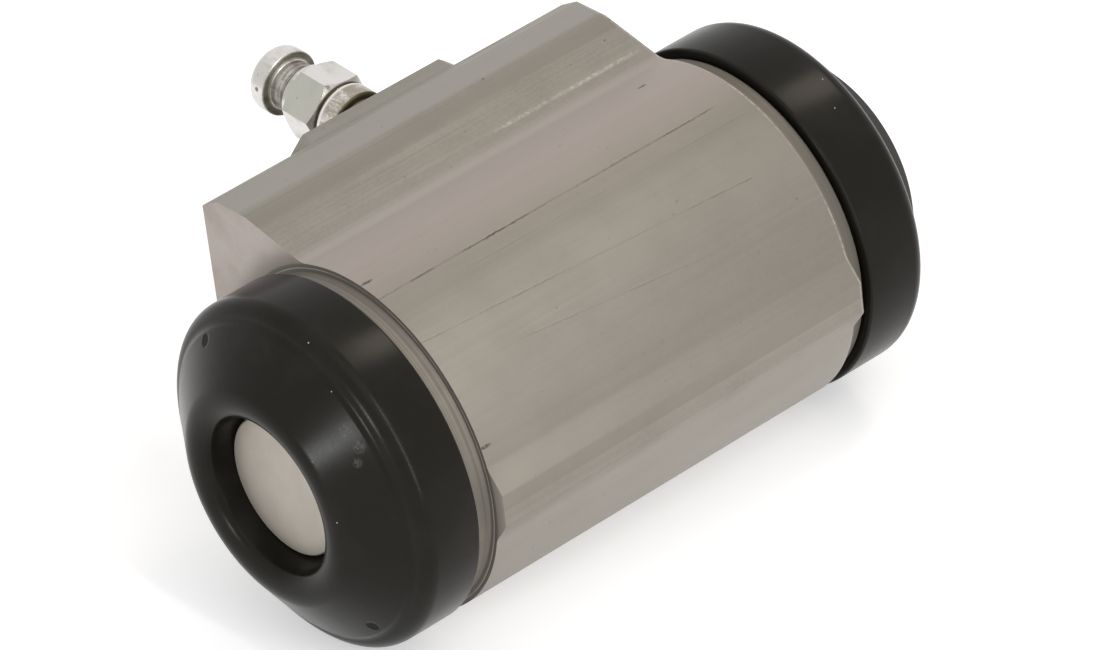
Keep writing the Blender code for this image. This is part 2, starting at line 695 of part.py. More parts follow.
def boot_profile(reach):
    """A moulded boot in section, with its nose pulled out by the piston's extra reach."""
    rim = BOOT_RIM_STATION
    seat = NECK_SEAT_RADIUS + BOOT_FIT
    bead = BOOT_GROOVE_RADIUS + BOOT_FIT
    bead_start = BOOT_GROOVE_START + BOOT_FIT
    bead_end = BOOT_GROOVE_START + BOOT_GROOVE_WIDTH - BOOT_FIT
    skirt_end = BOOT_SKIRT_END + BOOT_SHOULDER_SHARE * reach
    shoulder_centre = (skirt_end, BOOT_SKIRT_RADIUS - BOOT_SHOULDER_RADIUS)
    nose_centre = (BOOT_NOSE_STATION + reach, BOOT_NOSE_RING_RADIUS)
    inner_centre = (skirt_end - BOOT_INNER_SETBACK, seat - BOOT_INNER_SHOULDER_RADIUS)
    face = PISTON_INNER_X + PISTON_LENGTH + reach - HALF_BODY
    groove_outer = face - PISTON_FACE_THICKNESS - BOOT_FIT
    groove_inner = groove_outer - PISTON_GROOVE_WIDTH + 2 * BOOT_FIT
    lip_radius = PISTON_GROOVE_RADIUS + BOOT_FIT
    clear_of_nose = PISTON_NOSE_RADIUS + BOOT_FIT
    outside = [(rim, BOOT_SKIRT_RADIUS - BOOT_RIM_ROUND), (rim + BOOT_RIM_ROUND, BOOT_SKIRT_RADIUS)]
    outside += arc(shoulder_centre, BOOT_SHOULDER_RADIUS, math.pi / 2, BOOT_SHOULDER_END, 4)
    waist_station, waist_radius = outside[-1]
    outside.append((waist_station + BOOT_WAIST_WIDTH, waist_radius - BOOT_WAIST_DROP))
    outside += arc(nose_centre, BOOT_NOSE_RADIUS, BOOT_NOSE_START, BOOT_NOSE_END, 6)
    edge_station, edge_radius = outside[-1]
    mouth = [
        (edge_station - BOOT_MOUTH_EDGE, edge_radius - BOOT_MOUTH_EDGE),
        (face, PISTON_FACE_RADIUS + BOOT_FIT + BOOT_MOUTH_FLARE),
        (groove_outer, PISTON_FACE_RADIUS + BOOT_FIT),
        (groove_outer, lip_radius),
        (groove_inner, lip_radius),
        (groove_inner, clear_of_nose),
    ]
    inside = arc(nose_centre, BOOT_NOSE_RADIUS - BOOT_WALL, BOOT_INNER_NOSE_START, BOOT_NOSE_START, 3)
    inside += arc(inner_centre, BOOT_INNER_SHOULDER_RADIUS, BOOT_NOSE_START, math.pi / 2, 3)
    seat_side = [
        (bead_end, seat),
        (bead_end, bead),
        (bead_start, bead),
        (bead_start, seat),
        (rim, seat),
    ]
    return outside + mouth + inside + seat_side


def make_piston_groups(piston_material, cup_material, expander_material):
    """Piston, cup and expander on each side; each origin is on the bore's axis."""
    piston_mesh = lathe("piston", piston_profile(), ROUND_SEGMENTS)
    cup_mesh = lathe("piston_cup", cup_profile(), ROUND_SEGMENTS)
    expander_mesh = lathe("cup_expander", expander_profile(), SMALL_SEGMENTS)
    for side, location, rotation in side_placements(PISTON_INNER_X, PISTON_INNER_X + RIGHT_REACH):
        make_object("piston_" + side, piston_mesh, piston_material, location, rotation)
        make_object("piston_cup_" + side, cup_mesh, cup_material, location, rotation)
        make_object("cup_expander_" + side, expander_mesh, expander_material, location, rotation)


def make_boots(material):
    """The two dust boots."""
    for side, location, rotation in side_placements(HALF_BODY, HALF_BODY):
        profile = boot_profile(RIGHT_REACH if side == "right" else 0)
        mesh = lathe("dust_boot_" + side, profile, ROUND_SEGMENTS, closed=True)
        make_object("dust_boot_" + side, mesh, material, location, rotation)


def main():
    """Build the whole wheel cylinder."""
    for obj in list(bpy.data.objects):
        bpy.data.objects.remove(obj, do_unlink=True)
    make_bore_axis()
    make_body(make_material("extruded_aluminium"))
    make_bleed_screw(make_material("zinc_plated_steel"))
    make_piston_groups(
        make_material("piston_metal"), make_material("cup_rubber"), make_material("pressed_steel")
    )
    make_spring(make_material("spring_steel"))
    make_boots(make_material("boot_rubber"))


main()
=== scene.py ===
import math

import bmesh
import bpy
from mathutils import Matrix, Vector


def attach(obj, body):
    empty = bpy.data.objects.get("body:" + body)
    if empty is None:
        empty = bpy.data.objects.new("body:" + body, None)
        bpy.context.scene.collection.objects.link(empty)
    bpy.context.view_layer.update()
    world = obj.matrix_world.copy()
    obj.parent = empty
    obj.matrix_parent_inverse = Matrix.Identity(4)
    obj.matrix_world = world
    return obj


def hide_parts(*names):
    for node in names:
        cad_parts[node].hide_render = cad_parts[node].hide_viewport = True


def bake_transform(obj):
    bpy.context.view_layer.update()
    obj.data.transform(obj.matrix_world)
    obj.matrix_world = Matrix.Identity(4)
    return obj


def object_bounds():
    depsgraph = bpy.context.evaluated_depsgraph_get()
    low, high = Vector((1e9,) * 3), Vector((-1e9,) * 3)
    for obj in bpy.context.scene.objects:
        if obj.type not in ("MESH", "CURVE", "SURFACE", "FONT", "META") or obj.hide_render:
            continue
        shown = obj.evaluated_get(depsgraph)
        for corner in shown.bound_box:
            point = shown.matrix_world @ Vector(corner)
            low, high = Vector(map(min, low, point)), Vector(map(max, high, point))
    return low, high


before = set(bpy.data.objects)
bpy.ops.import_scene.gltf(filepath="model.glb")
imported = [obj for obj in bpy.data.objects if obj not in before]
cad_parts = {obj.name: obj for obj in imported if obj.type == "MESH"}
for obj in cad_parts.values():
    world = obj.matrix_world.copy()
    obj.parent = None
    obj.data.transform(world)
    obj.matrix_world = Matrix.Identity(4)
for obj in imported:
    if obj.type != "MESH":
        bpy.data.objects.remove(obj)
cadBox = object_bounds()

mm = 0.001
boreAxis = Vector((0, -22.3 * mm, -5.5 * mm))   # middle of the bore, seen from the pilot boss's face
halfBody = 22.5 * mm
rightReach = 1.5 * mm                           # the right piston stands this much further out
bleedZ = 12.85 * mm                             # the bleed screw's height above the middle of the bore
bleedTilt = 4.8                                 # its lean out of the mounting face, in degrees
past = 1 * mm                                   # how far a cutting tool reaches beyond a face
scene = bpy.context.scene


def paint(r, g, b):
    return (r, g, b, 1.0)


def sized(**lengths):
    # a piece's dictionary from lengths in millimetres
    return {name: length * mm for name, length in lengths.items()}


def fromBore(x, y, z):
    # a place given in millimetres from the middle of the bore
    return boreAxis + Vector((x, y, z)) * mm


class Shade:
    # the node tree of a material, or of the world, under construction
    def __init__(self, name, make=bpy.data.materials.new, last="Principled BSDF", **fixed):
        self.made = make(name)
        self.made.use_nodes = True
        self.tree = self.made.node_tree
        self.last = self.tree.nodes[last]
        self.finish(**fixed)

    def node(self, kind, settings=None, values=None, out=0):
        made = self.tree.nodes.new(kind)
        for key, value in (settings or {}).items():
            setattr(made, key, value)
        for key, value in (values or {}).items():
            self.feed(made.inputs[key], value)
        return Sock(self, made.outputs[out])

    def feed(self, socket, value):
        if isinstance(value, Sock):
            self.tree.links.new(value.socket, socket)
        else:
            socket.default_value = value

    def place(self):
        return self.node("ShaderNodeTexCoord", out="Object")

    def stretched(self, scale, move=(0, 0, 0)):
        return self.node("ShaderNodeMapping", None,
                         {"Vector": self.place(), "Scale": scale, "Location": move})

    def noise(self, scale, detail=3, rough=0.5, at=None, warp=0.0):
        return self.node("ShaderNodeTexNoise", None,
                         {"Vector": at or self.place(), "Scale": scale, "Detail": detail,
                          "Roughness": rough, "Distortion": warp})

    def drawn(self, along, across, detail, rough, move=(0, 0, 0)):
        # noise that is drawn out along X
        return self.noise(1.0, detail, rough, self.stretched((along, across, across), move))

    def ramp(self, value, low, high):
        return self.node("ShaderNodeMapRange", {"interpolation_type": "SMOOTHSTEP"},
                         {"Value": value, "From Min": low, "From Max": high})

    def near(self, value, middle, half, soft):
        # 1 where a value is close to the middle, fading out over the soft width
        return self.ramp(abs(value - middle), half + soft, half)

    def band(self, value, row):
        # the same from a row of millimetres: middle, half width, soft width
        return self.near(value, *(part * mm for part in row))

    def spot(self, point, radius, soft, drawnOut=1.0):
        # 1 around a point of the object; it may be drawn out along X
        squeeze = 1 / drawnOut
        away = self.node("ShaderNodeVectorMath", {"operation": "DISTANCE"},
                         {0: self.stretched((squeeze, 1, 1)), 1: (point[0] * squeeze, point[1], point[2])},
                         out="Value")
        return self.ramp(away, radius + soft, radius)

    def most(self, values):
        result = values[0]
        for value in values[1:]:
            result = result.atLeast(value)
        return result

    def mix(self, factor, a, b):
        # the numbered sockets are the Mix node's colour ones
        made = self.tree.nodes.new("ShaderNodeMix")
        made.data_type = "RGBA"
        self.feed(made.inputs[0], factor)
        self.feed(made.inputs[6], a)
        self.feed(made.inputs[7], b)
        return Sock(self, made.outputs[2])

    def bump(self, height, strength):
        return self.node("ShaderNodeBump", None, {"Height": height, "Distance": 1.0, "Strength": strength})

    def seen(self):
        # 1 for what the camera sees, itself or mirrored
        rays = ("Is Camera Ray", "Is Glossy Ray", "Is Transmission Ray")
        return self.most([self.node("ShaderNodeLightPath", out=ray) for ray in rays])

    def finish(self, **links):
        for socket, value in links.items():
            self.feed(self.last.inputs[socket.replace("_", " ")], value)
        return self.made


class Sock:
    # a shader socket that Python operators can work on
    def __init__(self, shade, socket):
        self.shade = shade
        self.socket = socket

    def maths(self, operation, first, second):
        return self.shade.node("ShaderNodeMath", {"operation": operation}, {0: first, 1: second})

    def __add__(self, other):
        return self.maths("ADD", self, other)

    def __radd__(self, other):
        return self.maths("ADD", other, self)

    def __sub__(self, other):
        return self.maths("SUBTRACT", self, other)

    def __rsub__(self, other):
        return self.maths("SUBTRACT", other, self)

    def __mul__(self, other):
        return self.maths("MULTIPLY", self, other)

    def __rmul__(self, other):
        return self.maths("MULTIPLY", other, self)

    def __pow__(self, other):
        return self.maths("POWER", self, other)

    def __abs__(self):
        return self.maths("ABSOLUTE", self, 0.0)

    def above(self, other):
        return self.maths("GREATER_THAN", self, other)

    def atLeast(self, other):
        return self.maths("MAXIMUM", self, other)

    def angle(self, other):
        return self.maths("ARCTAN2", self, other)

    def axes(self):
        made = self.shade.tree.nodes.new("ShaderNodeSeparateXYZ")
        self.shade.feed(made.inputs[0], self)
        return [Sock(self.shade, made.outputs[i]) for i in range(3)]


# Drawn and machined aluminium: die lines along X, turned necks, sawn and milled end faces.
bareMetal = {
    "colour": paint(0.286, 0.266, 0.231), "dark": paint(0.228, 0.211, 0.180),
    "light": paint(0.340, 0.319, 0.282), "olive": paint(0.259, 0.240, 0.196),
    "pink": paint(0.410, 0.368, 0.345), "violet": paint(0.372, 0.326, 0.297),
    "under": paint(0.374, 0.349, 0.320), "ear": paint(0.345, 0.332, 0.308),
    "line": paint(0.075, 0.065, 0.055), "bright": paint(0.62, 0.58, 0.52),
    "endFace": paint(0.462, 0.408, 0.383), "turned": paint(0.165, 0.148, 0.125),
    "step": paint(0.205, 0.184, 0.158),
    # bands of painted shade and painted light along the bar, by place on its section: what each follows,
    # middle, half width, soft edge, strength, colour, and the x range it comes in over; "turn" counts degrees
    # around the bore, the others mm, "crown" on the upper half only
    "paintedShadeAndLightBands": (
        ("turn", 96.0, 10.0, 12.0, 0.45, "olive", None),
        ("turn", 140.0, 42.0, 12.0, 0.60, "dark", None),
        ("across", -16.5, 4.0, 3.0, 0.35, "dark", (2.0, -20.0)),
        ("turn", 95.0, 20.0, 20.0, 0.42, "dark", (4.0, 22.0)),
        ("crown", 3.6, 2.4, 1.6, 0.85, "pink", None),
        ("turn", 87.0, 3.0, 24.0, 0.85, "violet", None),
        ("crown", 16.6, 1.3, 1.0, 0.75, "ear", None),
        ("up", -20.0, 15.4, 2.4, 0.60, "under", None),
        ("crown", 13.0, 0.4, 1.1, 0.75, "dark", None),
    ),
    # how strongly each kind of mark shows
    "clouds": 0.35, "mottle": 0.24, "flecks": 0.30, "streaks": 0.30, "scuffs": 0.35, "pits": 0.30,
    "glints": 0.14, "burr": 0.80, "nicked": 0.80, "shine": 0.42, "worn": 0.40,
    # long lines: degrees around the bore at x = 0, degrees per mm of x, first x, last x, half width, darkness
    "lines": ((105.0, 0.0, -22.0, 18.0, 0.20, 0.72), (128.4, 0.18, -22.0, 16.0, 0.14, 0.30),
              (142.5, 0.32, -12.0, 8.0, 0.10, 0.30), (111.5, 0.05, -14.0, 20.0, 0.08, 0.20)),
    # nicks: place in mm from the middle of the bore, radius, how far it is drawn out along X
    "nicks": ((-21.8, -2.15, 17.52, 0.13, 4.0), (7.5, 14.6, 18.5, 0.09, 1.0), (20.0, 11.4, 17.98, 0.12, 1.4),
              (17.0, 3.06, 17.38, 0.10, 3.5), (-21.9, -16.64, 5.89, 0.12, 3.5)),
    # rows of middle, half width and soft edge in mm: the corner's burr, the shining streak, the worn end
    "burrAcross": (20.25, 0.16, 0.12), "burrUp": (17.25, 0.16, 0.12), "burrAlong": (17.0, 4.5, 1.5),
    "shineAcross": (8.5, 0.08, 0.26), "shineAlong": (12.5, 7.5, 3.0), "wornEnd": (22.36, 0.04, 0.08),
    # the same on the end faces, by radius: painted shade by the boot, painted shadow line at the rim, painted
    # highlight line, step down to the neck; then the painted shade in the neck's corner, by x
    "shadeRing": (16.9, 0.8, 2.4), "rimShadowRing": (17.50, 0.14, 0.10), "highlightRing": (17.24, 0.03, 0.05),
    "stepFrom": 17.30 * mm, "stepTo": 17.22 * mm, "neckCornerShade": (22.5, 0.06, 0.08),
    "lineDepth": 0.010 * mm, "grainDepth": 0.004 * mm,
}


def makeBareAluminium():
    m = bareMetal
    s = Shade("bareAluminium", Metallic=0.75)
    x, y, z = s.place().axes()
    across, up = y - boreAxis.y, z - boreAxis.z
    turn = up.angle(across) * (180 / math.pi)
    radius = (across * across + up * up) ** 0.5
    endFace = abs(s.node("ShaderNodeNewGeometry", out="Normal").axes()[0]).above(0.9)
    turned = abs(x).above(halfBody + 0.01 * mm)
    fineLines = s.drawn(6.0, 900.0, 5, 0.65)
    hairLines = s.drawn(16.0, 3400.0, 3, 0.7, (2, 9, 4))
    broadLines = s.drawn(4.0, 190.0, 2, 0.5)
    flecks = s.ramp(s.drawn(900.0, 3600.0, 3, 0.7, (4, 4, 1)), 0.60, 0.72)
    streaks = s.ramp(s.drawn(14.0, 420.0, 3, 0.6, (3, 1, 7)), 0.60, 0.72)
    scuffs = s.ramp(s.drawn(260.0, 1500.0, 4, 0.7, (5, 2, 1)), 0.68, 0.78)
    breaks = s.ramp(s.drawn(170.0, 60.0, 5, 0.75, (1, 5, 2)), 0.40, 0.62)
    rings = s.drawn(5200.0, 12.0, 4, 0.7)
    clouds = s.noise(160.0, 4, 0.6)
    mottle = s.noise(2300.0, 3, 0.7)
    grain = s.noise(6500.0, 2, 0.5)
    ragged = s.ramp(s.noise(2600.0, 2, 0.6), 0.35, 0.60)
    pits = s.ramp(s.noise(1300.0, 2, 0.6), 0.72, 0.78)

    # the bar: drawn texture, then the bands of painted shade and painted light along it
    drawnLines = broadLines + (fineLines - 0.5) * 0.6 + (hairLines - 0.5) * 0.3
    tone = s.mix(s.ramp(drawnLines, 0.3, 0.72), m["dark"], m["light"])
    tone = s.mix(0.45, tone, m["colour"])
    tone = s.mix(s.ramp(clouds, 0.40, 0.75) * m["clouds"], tone, m["dark"])
    tone = s.mix(s.ramp(mottle + (hairLines - 0.5) * 0.8, 0.38, 0.66) * m["mottle"], tone, m["light"])
    tone = s.mix(flecks * m["flecks"], tone, m["dark"])
    measures = {"turn": (turn, 1.0), "across": (across, mm), "crown": (across, mm), "up": (up, mm)}
    for follows, middle, half, soft, strength, colour, comesIn in m["paintedShadeAndLightBands"]:
        value, unit = measures[follows]
        cover = s.near(value, middle * unit, half * unit, soft * unit) * strength
        if follows == "crown":
            cover = cover * up.above(0)
        if comesIn:
            cover = cover * s.ramp(x, comesIn[0] * mm, comesIn[1] * mm)
        tone = s.mix(cover, tone, m[colour])
    tone = s.mix(streaks * m["streaks"], tone, m["light"])
    tone = s.mix(scuffs * m["scuffs"], tone, m["dark"])

    # single marks
    lines, glints = [], []
    for middle, slope, first, last, half, dark in m["lines"]:
        along = s.band(x, ((first + last) / 2, (last - first) / 2, 1.5)) * dark
        path = turn - x * (slope / mm) + (clouds - 0.5) * 0.5 + (mottle - 0.5) * 0.8
        lines.append(s.near(path, middle, half, half * 1.4) * along)
        glints.append(s.near(path, middle - 0.5, 0.12, 0.25) * along)
    burr = s.band(across, m["burrAcross"]) * s.band(up, m["burrUp"]) * s.band(x, m["burrAlong"]) * breaks
    nicks = [s.spot(fromBore(*place), size * mm, 0.10 * mm, drawnOut) * (ragged * 0.6 + 0.4) * m["nicked"]
             for *place, size, drawnOut in m["nicks"]]
    scratch = s.most([s.most(lines) * (breaks * 0.75 + 0.25), burr * m["burr"]] + nicks)
    tone = s.mix(pits * m["pits"], tone, m["line"])
    tone = s.mix(s.most(glints) * breaks * m["glints"], tone, m["bright"])
    tone = s.mix(scratch, tone, m["line"])
    shine = s.band(across, m["shineAcross"]) * s.band(x, m["shineAlong"]) * up.above(0)
    shine = shine * (breaks * 0.6 + 0.4) * (s.ramp(mottle, 0.38, 0.60) * 0.7 + 0.3)
    tone = s.mix(shine * m["shine"], tone, m["bright"])
    worn = s.band(x, m["wornEnd"]) * ragged * s.ramp(clouds, 0.35, 0.6) * (1 - endFace)
    tone = s.mix(worn * m["worn"], tone, m["bright"])

    # the end faces with painted shade by the boot, a painted shadow line at the rim, a painted highlight ring
    # and the step down to the neck, then the turned necks
    face = s.mix(s.ramp(clouds, 0.35, 0.7) * 0.45, m["endFace"], m["colour"])
    face = s.mix(s.band(radius, m["shadeRing"]) * 0.85, face, m["dark"])
    face = s.mix(s.band(radius, m["rimShadowRing"]) * 0.5, face, m["line"])
    face = s.mix(s.ramp(radius, m["stepFrom"], m["stepTo"]) * 0.9, face, m["step"])
    face = s.mix(s.band(radius, m["highlightRing"]) * s.ramp(clouds, 0.30, 0.60) * 0.7, face, m["bright"])
    tone = s.mix(endFace, tone, face)
    neck = s.mix(s.ramp(rings, 0.35, 0.65), m["turned"], m["dark"])
    # painted shade in the corner where each neck meets its end face
    neck = s.mix(s.band(abs(x), m["neckCornerShade"]) * 0.3, neck, m["line"])
    tone = s.mix(turned * (1 - endFace), tone, neck)

    barHeight = (fineLines + hairLines * 0.35 - scratch * 0.9) * m["lineDepth"] + grain * m["grainDepth"]
    faceHeight = grain * (m["grainDepth"] * 1.6) + clouds * (m["grainDepth"] * 2)
    neckHeight = rings * (m["lineDepth"] * 1.5)
    height = (barHeight * (1 - turned) + neckHeight * turned) * (1 - endFace) + faceHeight * endFace
    rough = 0.62 + (fineLines - 0.5) * 0.16 + (clouds - 0.5) * 0.14 + endFace * 0.06 + scratch * 0.2
    return s.finish(Base_Color=tone, Roughness=rough, Normal=s.bump(height, 0.9))


# Zinc plate, with dark olive in the corners that is partly its chromate's stain and partly painted shade.
# Stations are mm out of the pilot boss, in rows of middle, half width and soft edge; a corner's row ends in
# its darkness.
zinc = {
    "colour": paint(0.70, 0.675, 0.655), "dull": paint(0.40, 0.39, 0.34), "bright": paint(0.74, 0.72, 0.70),
    "green": paint(0.425, 0.422, 0.368), "stainAndShade": paint(0.085, 0.074, 0.040),
    "brown": paint(0.30, 0.262, 0.200),
    "corners": ((2.38, 0.10, 0.22, 0.9), (5.02, 0.05, 0.13, 0.95), (9.45, 0.05, 0.20, 0.6),
                (12.46, 0.05, 0.12, 0.62), (10.35, 0.04, 0.16, 0.4)),
    "neck": (11.3, 0.9, 0.4), "collar": (3.4, 0.7, 0.35), "ring": (4.42, 0.07, 0.10),
    # the greenish side, painted shade with a green tint: how far its faces look up and left, and where along
    # the screw it starts and thins
    "greenUp": (0.58, 0.22, 0.18), "greenLeft": (-0.35, -0.60),
    "greenFrom": (4.7, 5.0), "greenThins": (12.2, 12.7),
    "speck": (-3.31, 35.6, 14.58),   # mm from the middle of the bore
    "turningDepth": 0.006 * mm, "grainDepth": 0.004 * mm,
}


def makeZincPlate():
    m = zinc
    s = Shade("zincPlate", Metallic=1.0)
    y, z = s.place().axes()[1:]
    tilt = math.radians(bleedTilt)
    along = y * math.cos(tilt) + (z - (boreAxis.z + bleedZ)) * math.sin(tilt)
    patches = s.noise(420.0, 4, 0.6)
    grain = s.noise(5200.0, 3, 0.6)
    turning = s.noise(1.0, 3, 0.6, s.stretched((30.0, 4200.0, 30.0)))
    rubbed = s.noise(1.0, 3, 0.7, s.stretched((900.0, 240.0, 900.0), (3, 3, 1)))
    specks = s.ramp(s.noise(1500.0, 2, 0.5), 0.70, 0.78)
    tone = s.mix(s.ramp(patches + (rubbed - 0.5) * 0.7, 0.40, 0.80) * 0.7, m["colour"], m["dull"])
    tone = s.mix(s.ramp(rubbed, 0.58, 0.72) * 0.6, tone, m["bright"])
    # painted shade, tinted green, on the faces that look up and left
    facing = s.node("ShaderNodeNewGeometry", out="Normal").axes()
    green = s.near(facing[2], *m["greenUp"]) * s.ramp(facing[0], *m["greenLeft"])
    starts, thins = [s.ramp(along, first * mm, last * mm)
                     for first, last in (m["greenFrom"], m["greenThins"])]
    tone = s.mix(green * starts * (1 - thins * 0.45) * (1.1 - patches * 0.5), tone, m["green"])
    collar = s.band(along, m["collar"]) * s.ramp(rubbed + (grain - 0.5) * 0.5, 0.28, 0.55)
    tone = s.mix(collar * 0.85, tone, m["brown"])
    # painted light on the neck, which the bulb and the hexagon shade, under its brown turning marks
    neck = s.band(along, m["neck"])
    tone = s.mix(neck * 0.8, tone, m["bright"])
    tone = s.mix(neck * s.ramp(turning + (rubbed - 0.5) * 0.9, 0.44, 0.60) * 0.75, tone, m["brown"])
    tone = s.mix(s.band(along, m["ring"]), tone, m["bright"])
    dirtAndShade = [specks * 0.45, s.spot(fromBore(*m["speck"]), 0.16 * mm, 0.14 * mm) * 0.8]
    # the corners under the collars and the hexagon get stain and painted shade
    for *row, dark in m["corners"]:
        dirtAndShade.append(s.band(along, row) * (patches * 0.9 + dark - 0.35))
    dirtAndShade = s.most(dirtAndShade)
    tone = s.mix(dirtAndShade, tone, m["stainAndShade"])
    rough = 0.24 + patches * 0.16 + (grain - 0.5) * 0.12 + specks * 0.3 + dirtAndShade * 0.22
    height = turning * m["turningDepth"] + grain * m["grainDepth"]
    return s.finish(Base_Color=tone, Roughness=rough, Normal=s.bump(height, 0.8))


pistonMetal = {
    "colour": paint(0.452, 0.413, 0.362), "dull": paint(0.385, 0.350, 0.303), "edge": paint(0.24, 0.22, 0.18),
    "edgeFrom": 5.45 * mm, "edgeTo": 7.05 * mm, "ringDepth": 0.004 * mm, "grainDepth": 0.006 * mm,
}


def makePistonMetal():
    m = pistonMetal
    s = Shade("pistonMetal", Metallic=0.55)
    x, y, z = s.place().axes()
    across, up = y - boreAxis.y, z - boreAxis.z
    radius = (across * across + up * up) ** 0.5
    rings = s.noise(1.0, 3, 0.6, s.node("ShaderNodeCombineXYZ", None, {0: radius * 5200.0, 1: x * 5200.0}))
    grain = s.noise(4200.0, 3, 0.6)
    patches = s.noise(260.0, 3, 0.6)
    tone = s.mix(s.ramp(patches, 0.35, 0.7) * 0.5, m["colour"], m["dull"])
    # painted shade towards the face's edge, under the boot's lip
    tone = s.mix(s.ramp(radius, m["edgeFrom"], m["edgeTo"]) * 0.4, tone, m["edge"])
    height = rings * m["ringDepth"] + grain * m["grainDepth"]
    rough = 0.50 + (patches - 0.5) * 0.14 + (grain - 0.5) * 0.14
    return s.finish(Base_Color=tone, Roughness=rough, Normal=s.bump(height, 0.7))


# Moulded rubber. Marks are places in mm from the middle of the bore; specks and rubs end in a size. The rubs
# are lighter patches, partly rubbed wear and partly painted highlight; the dimples are darkened with painted
# shade.
rubber = {
    "colour": paint(0.0115, 0.0108, 0.0085), "bloom": paint(0.0190, 0.0175, 0.0145),
    "dust": paint(0.42, 0.41, 0.38), "hole": paint(0.0012, 0.0012, 0.0012), "rubAndHighlight": paint(0.085, 0.080, 0.074),
    "bootRoughness": 0.24, "cupRoughness": 0.42, "mattFrom": 31.6 * mm, "mattTo": 32.4 * mm,
    "specks": ((-30.83, -4.40, 16.64, 0.05), (-31.84, -8.16, 13.47, 0.03), (-35.19, -10.68, 2.08, 0.04),
               (29.95, -7.71, 15.94, 0.05), (28.80, -10.38, 14.40, 0.04)),
    "rubbed": ((-32.48, -10.42, 10.57, 0.75), (-32.30, -11.75, 9.30, 0.60), (-32.9, -11.9, 7.9, 0.45)),
    "dimples": ((-32.27, 9.28, 11.96), (-32.37, -9.99, -11.17)),
    "dimple": 0.45 * mm, "dimpleEdge": 0.35 * mm, "dimpleDepth": 0.12 * mm,
    "grainDepth": 0.002 * mm, "rippleDepth": 0.022 * mm, "waveDepth": 0.22 * mm,
}


def makeRubber(name, roughness, marked):
    m = rubber
    s = Shade(name, Metallic=0.0, Specular_IOR_Level=0.10)
    bloom = s.noise(150.0, 4, 0.6, None, 0.4)
    grain = s.noise(3600.0, 3, 0.55)
    ripple = s.noise(230.0, 2, 0.5)
    waves = s.noise(75.0, 1, 0.5)
    specks = s.ramp(s.noise(900.0, 1, 0.4), 0.83, 0.86)
    tone = s.mix(s.ramp(bloom, 0.45, 0.75) * 0.7, m["colour"], m["bloom"])
    tone = s.mix(specks * 0.3, tone, m["dust"])
    rough = roughness + (bloom - 0.5) * 0.12 + (grain - 0.5) * 0.08
    height = grain * m["grainDepth"] + ripple * m["rippleDepth"] + waves * m["waveDepth"]
    if marked:
        matt = s.ramp(s.place().axes()[0], m["mattFrom"], m["mattTo"])
        tone = s.mix(matt * 0.6, tone, m["bloom"])
        rough = rough + matt * 0.5
        for *place, size in m["specks"]:
            tone = s.mix(s.spot(fromBore(*place), size * mm, 0.05 * mm), tone, m["dust"])
        # lighter patches, partly rubbed wear and partly painted highlight
        for *place, size in m["rubbed"]:
            rubAndHighlight = s.spot(fromBore(*place), size * 0.4 * mm, size * mm)
            tone = s.mix(rubAndHighlight * s.ramp(grain + (ripple - 0.5), 0.45, 0.62) * 0.7, tone, m["rubAndHighlight"])
        for place in m["dimples"]:
            # each dimple is dented by the bump and darkened with painted shade
            dimple = s.spot(fromBore(*place), m["dimple"], m["dimpleEdge"])
            tone = s.mix(dimple, tone, m["hole"])
            height = height - dimple * m["dimpleDepth"]
            rough = rough + dimple * 0.3
    return s.finish(Base_Color=tone, Roughness=rough, Normal=s.bump(height, 0.6))


steel = {
    "pressed": (paint(0.45, 0.45, 0.44), 0.32), "spring": (paint(0.33, 0.33, 0.34), 0.30),
    "shade": 0.6, "grainDepth": 0.003 * mm,
}


def makeSteel(kind):
    colour, roughness = steel[kind]
    s = Shade(kind + "Steel", Metallic=1.0)
    patches = s.noise(380.0, 4, 0.6)
    grain = s.noise(4800.0, 3, 0.6)
    darker = paint(*(part * steel["shade"] for part in colour[:3]))
    tone = s.mix(s.ramp(patches, 0.3, 0.75) * 0.5, colour, darker)
    rough = roughness + (patches - 0.5) * 0.2 + (grain - 0.5) * 0.1
    return s.finish(Base_Color=tone, Roughness=rough, Normal=s.bump(grain * steel["grainDepth"], 0.7))


aluminium = makeBareAluminium()
zincPlate = makeZincPlate()
pistonFinish = makePistonMetal()
bootRubber = makeRubber("bootRubber", rubber["bootRoughness"], True)
cupRubber = makeRubber("cupRubber", rubber["cupRoughness"], False)
pressedSteel = makeSteel("pressed")
springSteel = makeSteel("spring")
print("materials made")


def arc(centre, radius, startDegrees, endDegrees, steps):
    points = []
    for i in range(steps + 1):
        angle = math.radians(startDegrees + (endDegrees - startDegrees) * i / steps)
        points.append((centre[0] + radius * math.cos(angle), centre[1] + radius * math.sin(angle)))
    return points


def softCorner(before, corner, after, radius, steps):
    # the points of a fillet in a corner
    p, a, b = Vector(corner), Vector(before) - Vector(corner), Vector(after) - Vector(corner)
    half = a.angle(b) / 2
    trim = min(radius / math.tan(half), 0.49 * a.length, 0.49 * b.length)
    radius = trim * math.tan(half)
    centre = p + (a.normalized() + b.normalized()).normalized() * (radius / math.sin(half))
    start = p + a.normalized() * trim - centre
    end = p + b.normalized() * trim - centre
    turn = start.angle_signed(end) * -1
    return [tuple(centre + Matrix.Rotation(turn * i / steps, 2) @ start) for i in range(steps + 1)]


def softened(points, radii, steps):
    # an open polyline with fillets of the given radii at its inner corners
    made = [points[0]]
    for i in range(1, len(points) - 1):
        if radii[i]:
            made += softCorner(points[i - 1], points[i], points[i + 1], radii[i], steps)
        else:
            made.append(points[i])
    return made + [points[-1]]


def keepMesh(bm, name, sharp=32):
    bmesh.ops.remove_doubles(bm, verts=bm.verts, dist=1e-7)
    bmesh.ops.recalc_face_normals(bm, faces=bm.faces)
    mesh = bpy.data.meshes.new(name)
    bm.to_mesh(mesh)
    bm.free()
    mesh.shade_smooth()
    mesh.set_sharp_from_angle(angle=math.radians(sharp))
    return mesh


def addObject(name, mesh, material=None):
    made = bpy.data.objects.new(name, mesh)
    scene.collection.objects.link(made)
    if material:
        mesh.materials.append(material)
    return made


